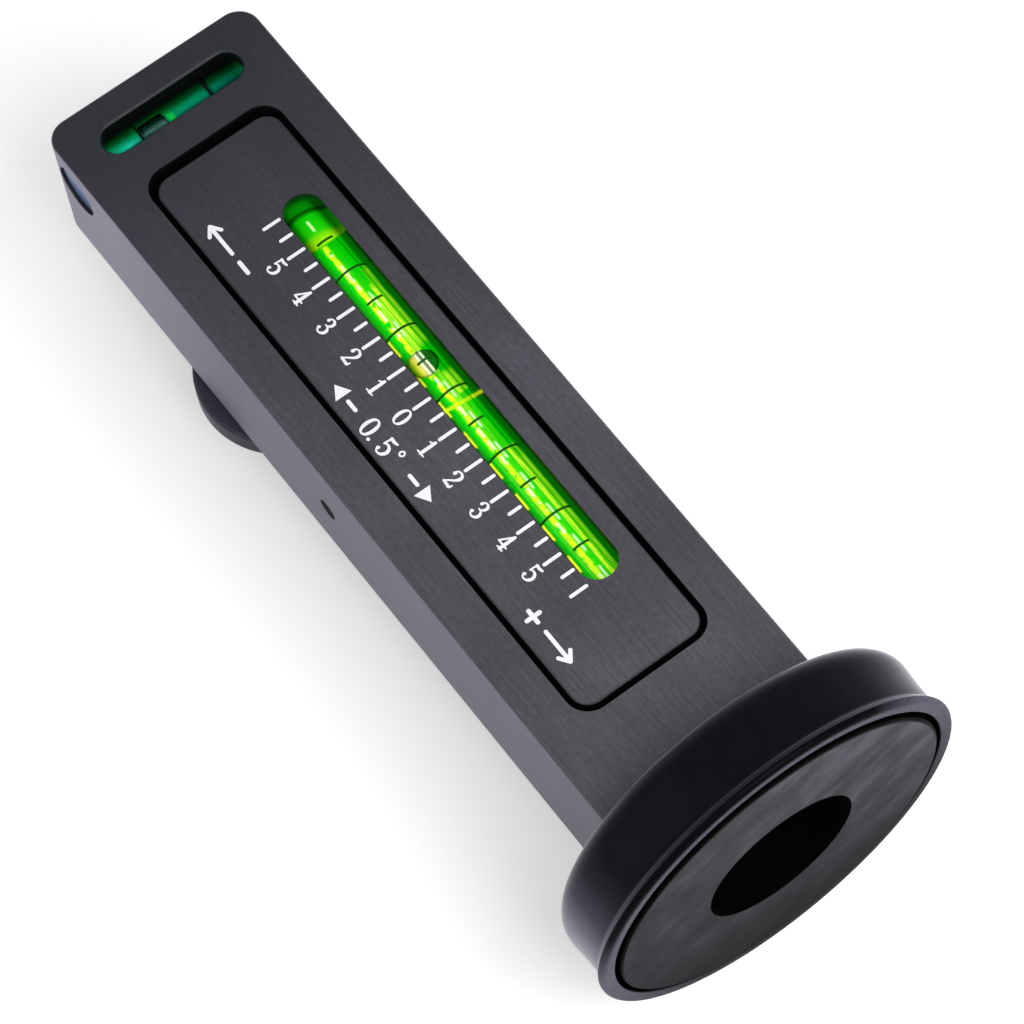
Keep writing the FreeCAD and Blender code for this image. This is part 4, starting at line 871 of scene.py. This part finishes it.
def degree_scale(name, face, zero, degree, front, body, last, inner, long_end, short_end, foot, size):
    """Ticks at each half degree, out to the last whole one, with figures up to 5. inner, long_end,
    short_end and foot are the ticks' ends and the figures' feet across the bar."""
    ticks = printed_on(face, zero, front)
    for half in range(-2 * last, 2 * last + 1):
        reach = short_end if half % 2 else long_end
        ticks.bar(half * degree / 2, inner - 0.2, half * degree / 2, reach + 0.2, TICK_WIDTH)
    ticks.piece(name + "_ticks", white_ink, body)
    figures = printed_on(face, zero, front)
    for whole in range(-5, 6):
        figures.figure(str(abs(whole)), whole * degree, foot, size)
    figures.piece(name + "_figures", white_ink, body)


degree_scale("camber", CAMBER_FACE, SCALE_ZERO, DEGREE, True, "gauge_body",
             last=6, inner=0.98, long_end=-1.62, short_end=-0.95, foot=-4.3, size=2.3)
degree_scale("caster", CASTER_FACE, CASTER_ZERO, CASTER_DEGREE, False, "cradle",
             last=5, inner=0.98, long_end=-1.5, short_end=-0.9, foot=-3.9, size=2.0)

# Signs of the camber scale: minus and plus with arrows to the ends, and the scale's step in the middle
# between two pointers.
signs = printed_on(CAMBER_FACE, SCALE_ZERO)
SIGN_ROW, SIGN_WIDTH = -6.3, 0.55       # row of the signs and arrows across the bar, and the signs' pen
STEP_ROW, STEP_MIDDLE = -6.9, 1.3       # row of the step's pointers, and its middle along the scale
STEP_HEIGHT, STEP_FOOT = 2.5, -8.1


def arrow(tail, head):
    """A straight arrow along the bar, in the signs' row."""
    way = 1 if head > tail else -1
    signs.bar(tail, SIGN_ROW, head - way * 0.3, SIGN_ROW, ARROW_WIDTH)
    for side in (0.85, -0.85):
        signs.bar(head - way * 1.2, SIGN_ROW + side, head, SIGN_ROW, ARROW_WIDTH)


arrow(-30.2, -34.9)
signs.bar(-28.7, SIGN_ROW, -26.9, SIGN_ROW, SIGN_WIDTH)
arrow(32.3, 37.0)
signs.bar(29.0, SIGN_ROW, 30.8, SIGN_ROW, SIGN_WIDTH)
signs.bar(29.9, SIGN_ROW - 0.9, 29.9, SIGN_ROW + 0.9, SIGN_WIDTH)
for way in (-1, 1):
    tip, tail, shaft, end = (STEP_MIDDLE + way * out for out in (9.7, 7.8, 6.9, 5.4))
    signs.plate([(tip, STEP_ROW), (tail, STEP_ROW + 1.15), (tail, STEP_ROW - 1.15)][::way])
    signs.bar(shaft, STEP_ROW, end, STEP_ROW, ARROW_WIDTH)
for character, step in (("0", -2.6), (".", -0.95), ("5", 0.7), ("o", 2.9)):
    signs.figure(character, step + STEP_MIDDLE, STEP_FOOT, STEP_HEIGHT)
signs.piece("camber_signs", white_ink, "gauge_body")


# ---------------------------------------------------------------- rings on the vials

def vial_rings(name, ink, body, centre, axis, radius, rings, face):
    """Thin ink lines over the crest of a vial: each is its place along the vial, its half angle in
    degrees and its width."""
    mesh = bmesh.new()
    axis, crest = Vector(axis), Vector(face)
    side = axis.cross(crest)
    for place, half_angle, width in rings:
        rows = []
        steps = max(6, int(half_angle / 4))
        for k in range(steps + 1):
            a = math.radians(half_angle) * (2 * k / steps - 1)
            spoke = side * math.sin(a) + crest * math.cos(a)
            rows.append([
                mesh.verts.new((Vector(centre) + axis * (place + dy) + spoke * (radius + dr)) * MM)
                for dy, dr in ((-width / 2, INK / 10), (width / 2, INK / 10),
                               (width / 2, INK), (-width / 2, INK))])
        skin(mesh, rows)
        mesh.faces.new(rows[0])
        mesh.faces.new(rows[-1][::-1])
    made = mesh_piece(name, mesh, ink)
    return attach(made, body)


for name, body, zero, degree, vial_z, up in (
        ("camber_rings", "gauge_body", SCALE_ZERO, DEGREE, CAMBER_VIAL_Z, 1),
        ("caster_rings", "cradle", CASTER_ZERO, CASTER_DEGREE, CASTER_VIAL_Z, -1)):
    vial_rings(name, green_ink, body, (VIAL_X, zero, vial_z), (0, 1, 0), VIAL_RADIUS,
               [(k * degree, 24 if k % 2 else 56, 0.32) for k in range(-5, 6)], (0, 0, up))
vial_rings("level_rings", black_ink, "gauge_body", (0, LEVEL_Y, LEVEL_Z), (1, 0, 0), LEVEL_RADIUS,
           [(-5.2, 60, 0.3), (4.87, 60, 0.3)], (0, 0, 1))


# ---------------------------------------------------------------- studio

def looked_at(tree):
    """One where the camera looks, straight or by way of a shiny or clear surface, and zero elsewhere."""
    path = add(tree, "LightPath")
    shine = add(tree, "Math", {0: path.outputs["Is Camera Ray"], 1: path.outputs["Is Glossy Ray"]},
                operation="MAXIMUM")
    return add(tree, "Math", {0: shine, 1: path.outputs["Is Transmission Ray"]}, operation="MAXIMUM")


def studio_floor():
    """Pale floor that meets the boot. It shows white to the camera and keeps the gauge's soft shadow."""
    data = bpy.data.meshes.new("studio_floor")
    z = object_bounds()[0].z - 0.00002
    data.from_pydata([(-3, -3, z), (3, -3, z), (3, 3, z), (-3, 3, z)], [], [(0, 1, 2, 3)])
    floor = placed("studio_floor", data)
    material, tree, shader = new_finish("pale_floor")
    feed(tree, shader, {
        "Base Color": linear("e9e9ea"), "Roughness": 0.9, "Specular IOR Level": 0.0,
        "Emission Color": (1, 1, 1, 1),
        "Emission Strength": add(tree, "Math", {0: looked_at(tree), 1: 0.36}, operation="MULTIPLY")})
    data.materials.append(material)
    floor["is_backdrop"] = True


def studio_world():
    """Even soft light from all round, and plain white where it is looked at."""
    world = bpy.data.worlds.new("studio_world")
    bpy.context.scene.world = world
    world.use_nodes = True
    tree = world.node_tree
    soft = tree.nodes["Background"]
    feed(tree, soft, {"Color": (1, 1, 1, 1), "Strength": 0.45})
    white = add(tree, "Background", {"Color": (1, 1, 1, 1), "Strength": 1.0})
    shown = add(tree, "MixShader", {0: looked_at(tree), 1: soft, 2: white})
    feed(tree, tree.nodes["World Output"], {"Surface": shown})


def soft_lamp(name, place, aim, size, power):
    """A square soft box."""
    data = bpy.data.lights.new(name, "AREA")
    data.shape, data.size, data.energy = "SQUARE", size, power
    lamp = placed(name, data)
    lamp.location = place
    lamp.rotation_mode = "QUATERNION"
    lamp.rotation_quaternion = (Vector(aim) - Vector(place)).to_track_quat("-Z", "Y")


def camera():
    """A long lens above the gauge's left, on the magnet's side."""
    data = bpy.data.cameras.new("camera")
    data.sensor_width, data.lens = 36.0, 158.37
    data.clip_start, data.clip_end = 0.01, 20.0
    eye = placed("camera", data)
    right = Vector((0.80250, -0.59350, -0.06180))
    back = Vector((-0.21280, -0.38150, 0.89950)).normalized()
    up = back.cross(right).normalized()
    right = up.cross(back)
    turn = Matrix((right, up, back)).transposed()
    place = Vector((-110.662, -148.015, 474.81)) * MM
    eye.matrix_world = Matrix.Translation(place) @ turn.to_4x4()
    bpy.context.scene.camera = eye


studio_floor()
studio_world()
soft_lamp("key_box", (0.06, -0.2, 0.32), (0.0, 0.02, 0), 0.3, 1.5)
soft_lamp("fill_box", (-1.1, -0.1, 0.8), (0, 0.06, 0), 1.4, 4.5)
camera()
bpy.context.scene.view_settings.view_transform = "Standard"
